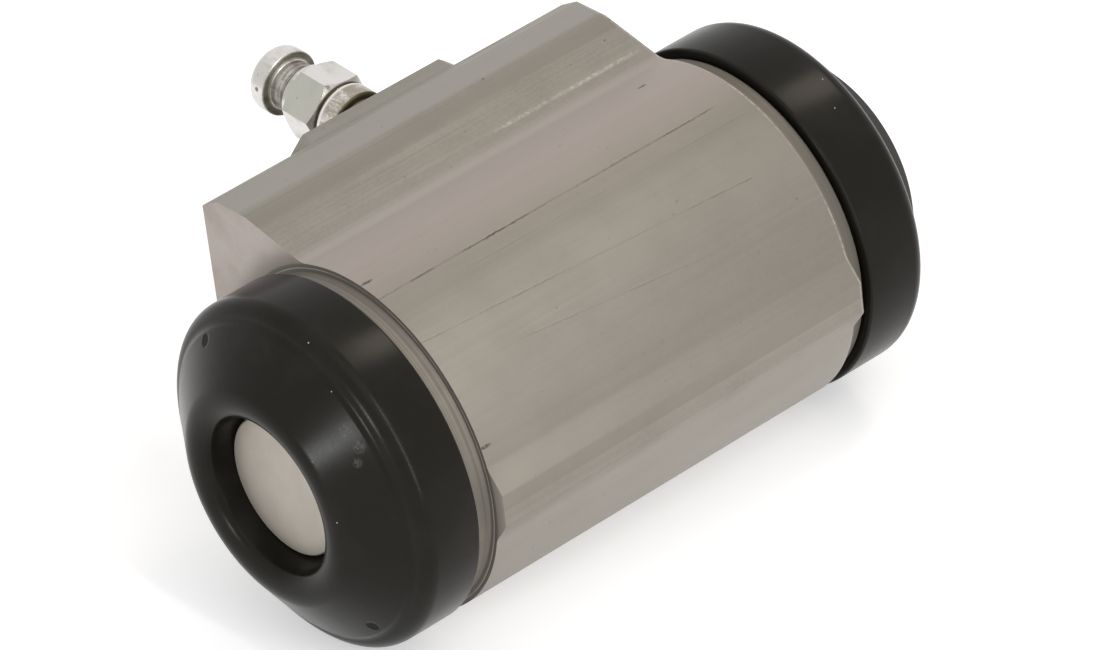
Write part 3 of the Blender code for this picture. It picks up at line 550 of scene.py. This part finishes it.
def spun(name, profile, segments, where, closed=False, sharp=32):
    # a turned mesh from (station, radius) points; where puts its X axis in place
    bm = bmesh.new()
    rings = []
    for station, radius in profile:
        if radius < 1e-8:
            rings.append([bm.verts.new((station, 0, 0))] * segments)
        else:
            rings.append([bm.verts.new((station, radius * math.cos(2 * math.pi * i / segments),
                                        radius * math.sin(2 * math.pi * i / segments)))
                          for i in range(segments)])
    pairs = list(zip(rings, rings[1:])) + ([(rings[-1], rings[0])] if closed else [])
    for low, high in pairs:
        for i in range(segments):
            j = (i + 1) % segments
            corners = []
            for vert in (low[i], high[i], high[j], low[j]):
                if vert not in corners:
                    corners.append(vert)
            if len(corners) > 2:
                bm.faces.new(corners)
    bm.transform(where)
    return keepMesh(bm, name, sharp)


def settled(made, sharp=32):
    # the object with its modifiers applied to its mesh
    bpy.context.view_layer.update()
    result = bpy.data.meshes.new_from_object(made.evaluated_get(bpy.context.evaluated_depsgraph_get()))
    name = made.name
    bpy.data.objects.remove(made, do_unlink=True)
    result.name = name
    result.shade_smooth()
    result.set_sharp_from_angle(angle=math.radians(sharp))
    return addObject(name, result)


def cut(made, tool, operation="DIFFERENCE"):
    modifier = made.modifiers.new(tool.name, "BOOLEAN")
    modifier.operation = operation
    modifier.solver = "EXACT"
    modifier.object = tool


def softEdges(made, width, sharperThan):
    modifier = made.modifiers.new("softEdges", "BEVEL")
    modifier.width = width
    modifier.segments = 2
    modifier.limit_method = "ANGLE"
    modifier.angle_limit = math.radians(sharperThan)


onBore = Matrix.Translation(boreAxis)
onLeft = Matrix.Translation(boreAxis) @ Matrix.Rotation(math.pi, 4, "Z")


def outOfFace(position, tiltDegrees=0):
    # a spun piece's X axis turned to point out of the mounting face
    tilt = Matrix.Rotation(math.radians(tiltDegrees), 4, "X")
    return Matrix.Translation(boreAxis + Vector(position)) @ tilt @ Matrix.Rotation(math.pi / 2, 4, "Z")


def newTree(name, inputs):
    tree = bpy.data.node_groups.new(name, "GeometryNodeTree")
    tree.interface.new_socket("Geometry", in_out="INPUT", socket_type="NodeSocketGeometry")
    for label, kind in inputs.items():
        tree.interface.new_socket(label, in_out="INPUT", socket_type="NodeSocket" + kind)
    tree.interface.new_socket("Geometry", in_out="OUTPUT", socket_type="NodeSocketGeometry")
    return tree


def addNode(tree, kind, settings=None, **links):
    made = tree.nodes.new(kind)
    for key, value in (settings or {}).items():
        setattr(made, key, value)
    for key, value in links.items():
        socket = made.inputs[key.replace("_", " ")]
        if isinstance(value, bpy.types.NodeSocket):
            tree.links.new(value, socket)
        else:
            socket.default_value = value
    return made


def useTree(made, tree, values):
    modifier = made.modifiers.new(tree.name, "NODES")
    modifier.node_group = tree
    ids = {item.name: item.identifier for item in tree.interface.items_tree if item.in_out == "INPUT"}
    for label, value in values.items():
        modifier[ids[label]] = value


def endTree(tree, geometry, material):
    real = addNode(tree, "GeometryNodeRealizeInstances", Geometry=geometry)
    coated = addNode(tree, "GeometryNodeSetMaterial", Geometry=real.outputs[0], Material=material)
    out = tree.nodes.new("NodeGroupOutput")
    tree.links.new(coated.outputs[0], out.inputs[0])


def makeBarTree():
    # a bar: the object's own outline swept along X
    tree = newTree("extrudedBar", {"Half Length": "Float", "Finish": "Material"})
    given = tree.nodes.new("NodeGroupInput")
    high = addNode(tree, "ShaderNodeCombineXYZ", X=given.outputs["Half Length"])
    low = addNode(tree, "ShaderNodeVectorMath", {"operation": "SCALE"}, Vector=high.outputs[0], Scale=-1.0)
    line = addNode(tree, "GeometryNodeCurvePrimitiveLine", Start=low.outputs[0], End=high.outputs[0])
    bar = addNode(tree, "GeometryNodeCurveToMesh", Curve=line.outputs[0],
                  Profile_Curve=given.outputs["Geometry"], Fill_Caps=True)
    joined = addNode(tree, "GeometryNodeMergeByDistance", Geometry=bar.outputs[0], Distance=1e-7)
    endTree(tree, joined.outputs[0], given.outputs["Finish"])
    return tree


def makeCoilTree():
    # a wire or thread crest that winds around X
    tree = newTree("windingCoil", {"Radius": "Float", "Turns": "Float", "Length": "Float", "Wire": "Float",
                                   "Steps": "Int", "Sides": "Int", "Finish": "Material"})
    given = tree.nodes.new("NodeGroupInput")
    spiral = addNode(tree, "GeometryNodeCurveSpiral", Resolution=given.outputs["Steps"],
                     Rotations=given.outputs["Turns"], Start_Radius=given.outputs["Radius"],
                     End_Radius=given.outputs["Radius"], Height=given.outputs["Length"])
    ring = addNode(tree, "GeometryNodeCurvePrimitiveCircle", Resolution=given.outputs["Sides"],
                   Radius=given.outputs["Wire"])
    wire = addNode(tree, "GeometryNodeCurveToMesh", Curve=spiral.outputs[0], Profile_Curve=ring.outputs[0],
                   Fill_Caps=True)
    turned = addNode(tree, "GeometryNodeTransform", Geometry=wire.outputs[0], Rotation=(0, math.pi / 2, 0))
    endTree(tree, turned.outputs[0], given.outputs["Finish"])
    return tree


barTree = makeBarTree()
coilTree = makeCoilTree()


def makeCoil(name, where, material, radius, pitch, length, wire, steps, sides):
    made = addObject(name, bpy.data.meshes.new(name))
    useTree(made, coilTree, {"Radius": radius, "Turns": length / pitch, "Length": length, "Wire": wire,
                             "Steps": steps, "Sides": sides, "Finish": material})
    made = settled(made, 60)
    bm = bmesh.new()
    bm.from_mesh(made.data)
    bm.transform(where)
    bmesh.ops.recalc_face_normals(bm, faces=bm.faces)
    bm.to_mesh(made.data)
    bm.free()
    return made


# Stations of the necks count out of the body's ends; heights and radii count from the middle of the bore.
body = sized(
    barrel=17.65, flange=20.3, earTop=18.5, corner=17.25,
    earChamfer=2.3, earLength=4.1, earRound=1.2, earFall=0.04,
    valleyFillet=3.0, valleyRunout=1.8,
    ribCrest=18.85, ribCrestHalf=1.7, ribBaseHalf=3.9,
    ribRound=0.6, ribFillet=1.5, ribLead=0.7,
    bore=12.7, boreChamfer=0.6, band=16.85, seat=15.9,
    bandLength=1.9, neckLength=6.4, neckChamfer=0.6,
    grooveStart=3.4, grooveWidth=1.8, grooveRadius=14.9,
    pilotRadius=14.5, pilotZ=5.5, pilotHeight=2.0, pilotRoot=2.0,
    portZ=-2.0, port=4.5, portDepth=7.0, portChamfer=0.6,
    passage=1.5, passageIntoBore=3.0,
    holeX=16.0, holeZ=-10.5, hole=2.55, holeDepth=8.0, holeChamfer=0.6,
    edge=0.10,
) | {"valleyDegrees": 69.5}
pilotFace = body["flange"] + body["pilotHeight"]
portPlace = (0, pilotFace, body["portZ"])
mountHoles = {"Left": (-body["holeX"], body["flange"], body["holeZ"]),
              "Right": (body["holeX"], body["flange"], body["holeZ"])}

# the hole that the bleed screw seats in; stations count out of the pilot boss's face
bleedHole = sized(
    seat=-10.2, relief=3.0, reliefLength=1.2, passage=1.25,
    passageLength=8.0, tapped=3.5, chamfer=0.4,
)
bleedPlace = outOfFace((0, pilotFace, bleedZ), bleedTilt)


def sectionOutline():
    b = body
    r = b["barrel"]
    valleyAngle = math.radians(b["valleyDegrees"])
    valley = (r * math.cos(valleyAngle), r * math.sin(valleyAngle))
    runout = (valley[0] - b["valleyRunout"] * math.sin(valleyAngle),
              valley[1] + b["valleyRunout"] * math.cos(valleyAngle))
    earInner = b["flange"] - b["earChamfer"] - b["earLength"]
    ear = softened([(b["flange"], b["corner"]), (b["flange"] - b["earChamfer"], b["earTop"]),
                    (earInner, b["earTop"] - b["earFall"]), valley, runout],
                   [0, b["earRound"] / 2, b["earRound"], b["valleyFillet"], 0], 10)[:-1]
    ribDegrees = 180 - math.degrees(math.asin(b["ribBaseHalf"] / r))
    barrel = arc((0, 0), r, b["valleyDegrees"] + math.degrees(b["valleyRunout"] / r),
                 ribDegrees - math.degrees(b["ribLead"] / r), 60)
    foot = (r * math.cos(math.radians(ribDegrees)), b["ribBaseHalf"])
    rib = softened([barrel[-1], foot, (-b["ribCrest"], b["ribCrestHalf"]), (-b["ribCrest"], 0)],
                   [0, b["ribFillet"], b["ribRound"], 0], 8)[1:-1]
    upper = ear + barrel + rib
    return upper + [(y, -z) for y, z in reversed(upper)]


def makeBar():
    outline = sectionOutline()
    curve = bpy.data.curves.new("cylinderBody", "CURVE")
    curve.dimensions = "3D"
    spline = curve.splines.new("POLY")
    spline.points.add(len(outline) - 1)
    for point, (y, z) in zip(spline.points, outline):
        point.co = (y, z, 0, 1)
    spline.use_cyclic_u = True
    made = bpy.data.objects.new("cylinderBar", curve)
    scene.collection.objects.link(made)
    useTree(made, barTree, {"Half Length": halfBody, "Finish": aluminium})
    bpy.context.view_layer.update()
    mesh = bpy.data.meshes.new_from_object(made.evaluated_get(bpy.context.evaluated_depsgraph_get()))
    bpy.data.objects.remove(made, do_unlink=True)
    # the sweep's own turn is read from the mesh: the flange must point to +Y
    across = [vert.co.y for vert in mesh.vertices]
    flip = -1 if abs(min(across)) > max(across) else 1
    bm = bmesh.new()
    bm.from_mesh(mesh)
    bm.transform(Matrix.Translation(boreAxis) @ Matrix.Diagonal((1, flip, 1, 1)))
    bpy.data.meshes.remove(mesh)
    return addObject("cylinderBody", keepMesh(bm, "cylinderBody"), aluminium)


def bothEnds(half):
    # a profile that runs from the left end to the right one
    return [(-station, radius) for station, radius in reversed(half)] + half


def makeNecks():
    b = body
    bandEnd, neckEnd = halfBody + b["bandLength"], halfBody + b["neckLength"]
    grooveStart = halfBody + b["grooveStart"]
    grooveEnd = grooveStart + b["grooveWidth"]
    half = [(bandEnd - b["edge"], b["band"]), (bandEnd, b["band"] - b["edge"]), (bandEnd, b["seat"]),
            (grooveStart, b["seat"]), (grooveStart, b["grooveRadius"]), (grooveEnd, b["grooveRadius"]),
            (grooveEnd, b["seat"]), (neckEnd - b["neckChamfer"], b["seat"]),
            (neckEnd, b["seat"] - b["neckChamfer"]), (neckEnd, 0)]
    return addObject("necks", spun("necks", bothEnds(half), 160, onBore))


def makePilot():
    # a round boss whose top is cut off in line with the flange's corner
    b = body
    reach = math.degrees(math.asin((b["corner"] - b["pilotZ"]) / b["pilotRadius"]))
    disc = arc((0, b["pilotZ"]), b["pilotRadius"], 180 - reach, 360 + reach, 120)
    bm = bmesh.new()
    rows = [[bm.verts.new(boreAxis + Vector((x, y, z))) for x, z in disc]
            for y in (b["flange"] - b["pilotRoot"], pilotFace)]
    bm.faces.new(rows[0])
    bm.faces.new(list(reversed(rows[1])))
    for i in range(len(disc)):
        j = (i + 1) % len(disc)
        bm.faces.new((rows[0][i], rows[1][i], rows[1][j], rows[0][j]))
    return addObject("pilot", keepMesh(bm, "pilot"))


def drillPoint(radius):
    # the length of a drill's point of 118 degrees
    return radius / math.tan(math.radians(59))


def holeProfile(radius, depth, chamfer):
    return [(-depth - drillPoint(radius), 0), (-depth, radius), (-chamfer, radius),
            (past, radius + chamfer + past), (past, 0)]


def makeDrills():
    # what is cut out of the body: bore, pipe port with its passage, bleed hole, mounting holes
    b, h = body, bleedHole
    neckEnd = halfBody + b["neckLength"]
    boreHalf = [(neckEnd - b["boreChamfer"], b["bore"]),
                (neckEnd + past, b["bore"] + b["boreChamfer"] + past), (neckEnd + past, 0)]
    passageEnd = b["bore"] - pilotFace - b["passageIntoBore"]
    port = [(passageEnd, 0), (passageEnd, b["passage"]),
            (-b["portDepth"] - drillPoint(b["port"] - b["passage"]), b["passage"])]
    port += holeProfile(b["port"], b["portDepth"], b["portChamfer"])[1:]
    seatEnd = h["seat"] - (h["relief"] - h["passage"])
    reliefEnd = h["seat"] + h["reliefLength"]
    bleed = [(seatEnd - h["passageLength"], 0), (seatEnd - h["passageLength"], h["passage"]),
             (seatEnd, h["passage"]), (h["seat"], h["relief"]), (reliefEnd, h["relief"]),
             (reliefEnd, h["tapped"]), (-h["chamfer"], h["tapped"]),
             (past, h["tapped"] + h["chamfer"] + past), (past, 0)]
    drills = [addObject("bore", spun("bore", bothEnds(boreHalf), 160, onBore)),
              addObject("port", spun("port", port, 64, outOfFace(portPlace))),
              addObject("bleedHole", spun("bleedHole", bleed, 64, bleedPlace))]
    hole = holeProfile(b["hole"], b["holeDepth"], b["holeChamfer"])
    for side, position in mountHoles.items():
        drills.append(addObject("mountHole" + side, spun("mountHole", hole, 48, outOfFace(position))))
    return drills


def makeBody():
    bar = makeBar()
    additions, drills = [makeNecks(), makePilot()], makeDrills()
    for tool in additions:
        cut(bar, tool, "UNION")
    for tool in drills:
        cut(bar, tool)
    softEdges(bar, body["edge"], 40)
    bar = settled(bar)
    for tool in additions + drills:
        bpy.data.objects.remove(tool, do_unlink=True)
    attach(bar, "cylinder")
    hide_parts("cylinder_body")
    print("body made", len(bar.data.polygons), "faces")


makeBody()


threads = sized(pitch=1.0, inset=0.9, crest=0.30, portLength=5.8, holeLength=6.6)


def makeThreads():
    # crests on the walls of the tapped holes, sunk half into the metal
    t = threads
    rows = [("portThread", portPlace, body["port"], t["portLength"])]
    for side, position in mountHoles.items():
        rows.append(("mountThread" + side, position, body["hole"], t["holeLength"]))
    for name, position, radius, length in rows:
        where = outOfFace(position) @ Matrix.Translation((-t["inset"] - length, 0, 0))
        made = makeCoil(name, where, aluminium, radius, t["pitch"], length, t["crest"], 40, 4)
        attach(made, "cylinder")


makeThreads()
print("threads made")


# Stations count out of the pilot boss's face.
screw = sized(
    shank=2.6, seatShift=0.424, shankEnd=-7.5, coreStart=-7.2, coreEnd=1.9,
    core=2.9, collar=3.5, collarBase=2.4, collarEnd=4.55, edge=0.15,
    hexBase=5.0, hexLength=4.4, acrossFlats=7.0, hexChamfer=0.3,
    shoulder=3.0, shoulderLength=0.75, shoulderEdge=0.95, shoulderFoot=1.7,
    neck=2.55, neckLength=3.1, neckFillet=0.2,
    nipple=3.37, nippleLength=2.6, nippleRound=1.3, nippleEdge=0.12,
    drill=0.9, drillChamfer=0.25, crossStation=2.75, crossDrill=0.7,
    crossLength=4.5, softEdge=0.07,
    threadStart=-7.0, threadLength=9.0, threadRise=0.12, pitch=1.0, crest=0.38,
) | {"hexTurn": 10.4}


def makeHexTool(hexEnd):
    # what is cut away around the hexagon: a thick six-sided tube
    margin = 0.2 * mm
    low, high = screw["hexBase"] - margin, hexEnd + margin
    bm = bmesh.new()
    rings = []
    for width, station in ((1.5, low), (1.5, high), (1.0, high), (1.0, low)):
        radius = screw["acrossFlats"] / math.sqrt(3) * width
        angles = [math.radians(screw["hexTurn"] + 60 * i) for i in range(6)]
        rings.append([bm.verts.new((station, radius * math.cos(a), radius * math.sin(a))) for a in angles])
    for first, second in zip(rings, rings[1:] + rings[:1]):
        for i in range(6):
            j = (i + 1) % 6
            bm.faces.new((first[i], second[i], second[j], first[j]))
    bm.transform(bleedPlace)
    return addObject("flats", keepMesh(bm, "flats"))


def makeScrew():
    p = screw
    edge = p["edge"]
    coneTop = bleedHole["seat"] + p["seatShift"] - (bleedHole["relief"] - p["shank"])
    tipRadius = bleedHole["passage"]
    tip = coneTop - (p["shank"] - tipRadius)
    hexEnd = p["hexBase"] + p["hexLength"]
    corner = p["acrossFlats"] / math.sqrt(3) * 1.04    # a little more than the flats leave
    flat = p["acrossFlats"] / 2 - p["hexChamfer"]
    run = (corner - flat) * math.tan(math.radians(30))
    neckEnd = hexEnd + p["neckLength"]
    nippleEnd = neckEnd + p["nippleLength"]
    profile = [(tip, 0), (tip, tipRadius), (coneTop, p["shank"]), (p["shankEnd"], p["shank"]),
               (p["coreStart"], p["core"]), (p["coreEnd"], p["core"]),
               (p["collarBase"], p["core"]), (p["collarBase"], p["collar"] - edge),
               (p["collarBase"] + edge, p["collar"]), (p["collarEnd"], p["collar"]), (p["hexBase"], flat),
               (p["hexBase"] + run, corner), (hexEnd - run, corner), (hexEnd, flat), (hexEnd, p["shoulder"]),
               (hexEnd + p["shoulderLength"], p["shoulder"]),
               (hexEnd + p["shoulderEdge"], p["shoulder"] - edge), (hexEnd + p["shoulderFoot"], p["neck"]),
               (neckEnd - p["neckFillet"], p["neck"]), (neckEnd, p["neck"] + p["neckFillet"]),
               (neckEnd, p["nipple"] - p["nippleEdge"]), (neckEnd + p["nippleEdge"], p["nipple"])]
    tipRound = p["nippleRound"]
    profile += arc((nippleEnd - tipRound, p["nipple"] - tipRound), tipRound, 90, 0, 12)
    profile += [(nippleEnd, 0)]
    made = addObject("bleedScrew", spun("bleedScrew", profile, 120, bleedPlace), zincPlate)

    crossing = tip + p["crossStation"]
    mouth = nippleEnd + past
    drill = [(crossing, 0), (crossing, p["drill"]), (nippleEnd - p["drillChamfer"], p["drill"]),
             (mouth, p["drill"] + p["drillChamfer"] + past), (mouth, 0)]
    cross = [(0, 0), (0, p["crossDrill"]), (p["crossLength"], p["crossDrill"]), (p["crossLength"], 0)]
    crossPlace = bleedPlace @ Matrix.Translation((crossing, 0, 0)) @ Matrix.Rotation(-math.pi / 2, 4, "Z")
    tools = [makeHexTool(hexEnd), addObject("passage", spun("passage", drill, 40, bleedPlace)),
             addObject("crossHole", spun("crossHole", cross, 32, crossPlace))]
    for tool in tools:
        cut(made, tool)
    softEdges(made, p["softEdge"], 28)
    made = settled(made, 30)
    for tool in tools:
        bpy.data.objects.remove(tool, do_unlink=True)
    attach(made, "bleeder")
    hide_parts("bleed_screw")
    crest = makeCoil("bleedScrewThread", bleedPlace @ Matrix.Translation((p["threadStart"], 0, 0)), zincPlate,
                     p["core"] + p["threadRise"], p["pitch"], p["threadLength"], p["crest"], 64, 4)
    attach(crest, "bleeder")


makeScrew()
print("bleed screw made")


# Stations count from the piston's inner end, which lies "inner" from the middle of the bore.
piston = sized(
    inner=13.5, radius=12.65, skirt=13.0, length=19.2, nose=8.0,
    face=7.05, faceThickness=0.8, groove=6.2, grooveWidth=1.3,
    edge=0.5, faceEdge=0.2,
)


def makePiston(side, where, reach=0):
    p = piston
    flange = p["length"] - p["faceThickness"]
    groove = flange - p["grooveWidth"]
    edge = p["edge"]
    profile = [(0, 0), (0, p["radius"] - edge), (edge, p["radius"]), (p["skirt"] - edge, p["radius"]),
               (p["skirt"], p["radius"] - edge), (p["skirt"], p["nose"]), (groove, p["nose"]),
               (groove, p["groove"]), (flange, p["groove"]), (flange, p["face"])]
    profile += arc((p["length"] - p["faceEdge"], p["face"] - p["faceEdge"]), p["faceEdge"], 90, 0, 5)
    profile += [(p["length"], 0)]
    where = where @ Matrix.Translation((p["inner"] + reach, 0, 0))
    made = addObject("piston" + side.capitalize(), spun("piston", profile, 128, where), pistonFinish)
    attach(made, side + "_piston")
    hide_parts("piston_" + side)


makePiston("left", onLeft)
makePiston("right", onBore, rightReach)
print("pistons made")


# Stations count out of the body's end. The shoulder and the nose are joined by a straight flank; a shallow
# waist runs around just outside the shoulder.
boot = {
    "rim": 2.1 * mm, "rimRound": 0.3 * mm, "skirt": 17.75 * mm,
    "shoulder": (7.05 * mm, 15.95 * mm), "shoulderRadius": 1.8 * mm, "shoulderEnd": 17.7,
    "waist": (9.907 * mm, 16.863 * mm), "waistRadius": 1.2 * mm, "waistFrom": 197.7, "waistTo": 231.7,
    "brow": (8.42 * mm, 14.98 * mm), "browRadius": 1.2 * mm, "browStart": 51.7,
    "nose": (10.4 * mm, 9.75 * mm), "noseRadius": 2.55 * mm, "noseEnd": -33,
    "mouthEdge": 1.02 * mm, "funnelFacing": -74.6,
    # inside the mouth: (station from the piston's face, radius)
    "mouthInside": ((0, 7.40 * mm), (-0.3 * mm, 7.32 * mm), (-0.9 * mm, 8.15 * mm)),
    "innerShoulder": (6.8 * mm, 15.1 * mm), "innerShoulderRadius": 0.9 * mm,
    "wall": 1.4 * mm, "innerNoseStart": -30,
    "seat": 16.0 * mm, "seatStart": 2.2 * mm, "bead": 15.0 * mm, "beadStart": 3.5 * mm, "beadEnd": 5.1 * mm,
    "foldStart": 29.4 * mm, "foldEnd": 35.45 * mm,   # from the middle of the bore
    "shoulderShare": 0.5,                            # how much of a piston's extra reach the shoulder takes
}

# The boot's lip in the piston's groove is a ring of its own, which the piston carries.
lip = sized(
    clearance=0.1, bore=6.3, collar=7.15, foot=7.45,
    riseLength=0.5, rise=7.65, depth=1.6, edge=0.1,
    crest=8.15, crestWidth=0.35, back=8.8, backFoot=8.1,
)


def shifted(point, shift):
    return (point[0] + shift, point[1])


def flankDegrees(first, firstRadius, second, secondRadius):
    # the direction in which the line that touches both arcs faces
    run = Vector(second) - Vector(first)
    lean = math.acos((firstRadius - secondRadius) / run.length)
    return math.degrees(math.atan2(run.y, run.x) + lean)


def pistonFace(reach):
    return piston["inner"] + piston["length"] - halfBody + reach


def bootProfile(reach):
    b = boot
    shift = reach * b["shoulderShare"]
    shoulder, brow, nose = shifted(b["shoulder"], shift), shifted(b["brow"], shift), shifted(b["nose"], reach)
    outward = flankDegrees(brow, b["browRadius"], nose, b["noseRadius"])
    points = arc((b["rim"] + b["rimRound"], b["skirt"] - b["rimRound"]), b["rimRound"], 180, 90, 5)
    points += arc(shoulder, b["shoulderRadius"], 90, b["shoulderEnd"], 16)
    points += arc(shifted(b["waist"], shift), b["waistRadius"], b["waistFrom"], b["waistTo"], 8)
    points += arc(brow, b["browRadius"], b["browStart"], outward, 6)
    points += arc(nose, b["noseRadius"], outward, b["noseEnd"], 24)
    inset, facing = b["noseRadius"] - b["mouthEdge"], math.radians(b["noseEnd"])
    edge = (nose[0] + inset * math.cos(facing), nose[1] + inset * math.sin(facing))
    points += arc(edge, b["mouthEdge"], b["noseEnd"], b["funnelFacing"], 10)[1:]
    points += [shifted(point, pistonFace(reach)) for point in b["mouthInside"]]
    points += arc(nose, b["noseRadius"] - b["wall"], b["innerNoseStart"], outward, 10)
    points += arc(shifted(b["innerShoulder"], shift), b["innerShoulderRadius"], outward, 90, 8)
    return points + [(b["beadEnd"], b["seat"]), (b["beadEnd"], b["bead"]), (b["beadStart"], b["bead"]),
                     (b["beadStart"], b["seat"]), (b["seatStart"], b["seat"])]


def lipProfile(reach):
    p = lip
    face = pistonFace(reach)
    outer = face - piston["faceThickness"] - p["clearance"]
    inner = outer - piston["grooveWidth"] + 2 * p["clearance"]
    end = face + p["depth"]
    low, high = p["crest"], p["crest"] + p["crestWidth"]
    return [(inner, p["bore"]), (outer, p["bore"]), (outer, p["collar"]), (face, p["foot"]),
            (face + p["riseLength"], p["rise"]), (end - p["edge"], low), (end, low + p["edge"]),
            (end, high), (end - p["edge"], high + p["edge"]), (inner, p["back"]), (inner, p["backFoot"])]


def makeBoot(side, where, reach=0):
    where = where @ Matrix.Translation((halfBody, 0, 0))
    shape = spun("dustBoot", bootProfile(reach), 176, where, closed=True, sharp=50)
    made = addObject("dustBoot" + side.capitalize(), shape, bootRubber)
    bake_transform(made)
    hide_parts("dust_boot_" + side)
    shape = spun("dustBootLip", lipProfile(reach), 128, where, closed=True, sharp=50)
    ring = addObject("dustBootLip" + side.capitalize(), shape, bootRubber)
    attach(ring, side + "_piston")


makeBoot("left", onLeft)
makeBoot("right", onBore, rightReach)
print("boots made")


# The spring is made in two halves that meet in the middle of the bore.
spring = sized(half=9.3, radius=7.3, wire=0.6, pitch=2.9)


def makeSpring(side, where, sign, reach=0):
    end = spring["half"] + reach
    made = makeCoil("returnSpring" + side.capitalize(), where, springSteel, spring["radius"], spring["pitch"],
                    end - spring["wire"], spring["wire"], 40, 12)
    boreAxis + Vector((sign * end, 0, 0))
    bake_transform(made)
    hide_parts("return_spring")


makeSpring("left", onLeft, -1)
makeSpring("right", onBore, 1, rightReach)


def finishCarriedNodes():
    # the cups and expanders keep their CAD shape and get a better material
    for side in ("left", "right"):
        for node, material in (("piston_cup_" + side, cupRubber), ("cup_expander_" + side, pressedSteel)):
            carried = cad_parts[node]
            if carried.material_slots:
                for slot in carried.material_slots:
                    slot.material = material
            else:
                carried.data.materials.append(material)


finishCarriedNodes()
print("inner parts finished")


studio = {
    "floorZ": cadBox[0].z, "floorHalf": 2.0, "floorColour": paint(0.86, 0.86, 0.86),
    "world": 0.56, "white": 0.42,    # the world's light, and the glow that keeps the floor white
    # lamps: place from the middle of the bore in metres, size, power in watts, colour
    "lamps": {
        "keyLight": ((-0.15, -0.33, 0.75), (0.6, 0.6), 0.85, (1, 1, 1)),
        "stripLight": ((-0.054, -0.616, 0.329), (0.055, 0.76), 2.0, (1, 1, 1)),
        "sideLight": ((-0.75, -0.03, 0.12), (0.11, 0.09), 1.1, (1, 1, 1)),
        "rightLight": ((0.39, -0.034, 0.58), (0.17, 0.17), 0.8, (1, 0.86, 0.72)),
    },
    # the photograph's viewpoint: degrees around the object, up and of roll, then distance and slide
    "azimuth": -38.1941, "elevation": 32.8367, "roll": -7.2430,
    "distance": 746.43 * mm, "slideRight": 0.0945 * mm, "slideUp": 0.6336 * mm,
    "lens": 262.3, "sensor": 36, "clip": (0.05, 10),
}


def makeFloor():
    bm = bmesh.new()
    half = studio["floorHalf"]
    corners = ((-half, -half), (half, -half), (half, half), (-half, half))
    bm.faces.new([bm.verts.new((x, y, studio["floorZ"])) for x, y in corners])
    mesh = bpy.data.meshes.new("floor")
    bm.to_mesh(mesh)
    bm.free()
    s = Shade("floorWhite", Roughness=0.9, Emission_Strength=1.0, Base_Color=studio["floorColour"])
    white = studio["white"]
    s.finish(Emission_Color=s.mix(s.seen(), paint(0, 0, 0), paint(white, white, white)))
    floor = addObject("floor", mesh, s.made)


def makeWorld():
    # soft grey light all round, which the camera and reflections see as white
    s = Shade("softRoom", bpy.data.worlds.new, "Background", Color=paint(1, 1, 1))
    scene.world = s.finish(Strength=s.seen() * (1 - studio["world"]) + studio["world"])


def addLamp(name, position, size, power, colour):
    light = bpy.data.lights.new(name, "AREA")
    light.shape = "RECTANGLE"
    light.size, light.size_y = size
    light.energy = power
    light.color = colour
    made = bpy.data.objects.new(name, light)
    scene.collection.objects.link(made)
    made.location = boreAxis + Vector(position)
    made.rotation_mode = "QUATERNION"
    made.rotation_quaternion = (Vector(position) * -1).to_track_quat("-Z", "Y")


def makeCamera():
    turn, lift, roll = (math.radians(studio[key]) for key in ("azimuth", "elevation", "roll"))
    back = Vector((math.sin(turn) * math.cos(lift), -math.cos(turn) * math.cos(lift), math.sin(lift)))
    level = Vector((math.cos(turn), math.sin(turn), 0))
    right = level * math.cos(roll) + back.cross(level) * math.sin(roll)
    upward = back.cross(right)
    lens = bpy.data.cameras.new("photoCamera")
    lens.sensor_width = studio["sensor"]
    lens.lens = studio["lens"]
    lens.clip_start, lens.clip_end = studio["clip"]
    camera = bpy.data.objects.new("photoCamera", lens)
    scene.collection.objects.link(camera)
    eye = boreAxis + right * studio["slideRight"] + upward * studio["slideUp"] + back * studio["distance"]
    camera.matrix_world = Matrix.Translation(eye) @ Matrix((right, upward, back)).transposed().to_4x4()
    scene.camera = camera
    scene.view_settings.view_transform = "Standard"


makeFloor()
makeWorld()
for lampName, lamp in studio["lamps"].items():
    addLamp(lampName, *lamp)
makeCamera()
print("studio made")
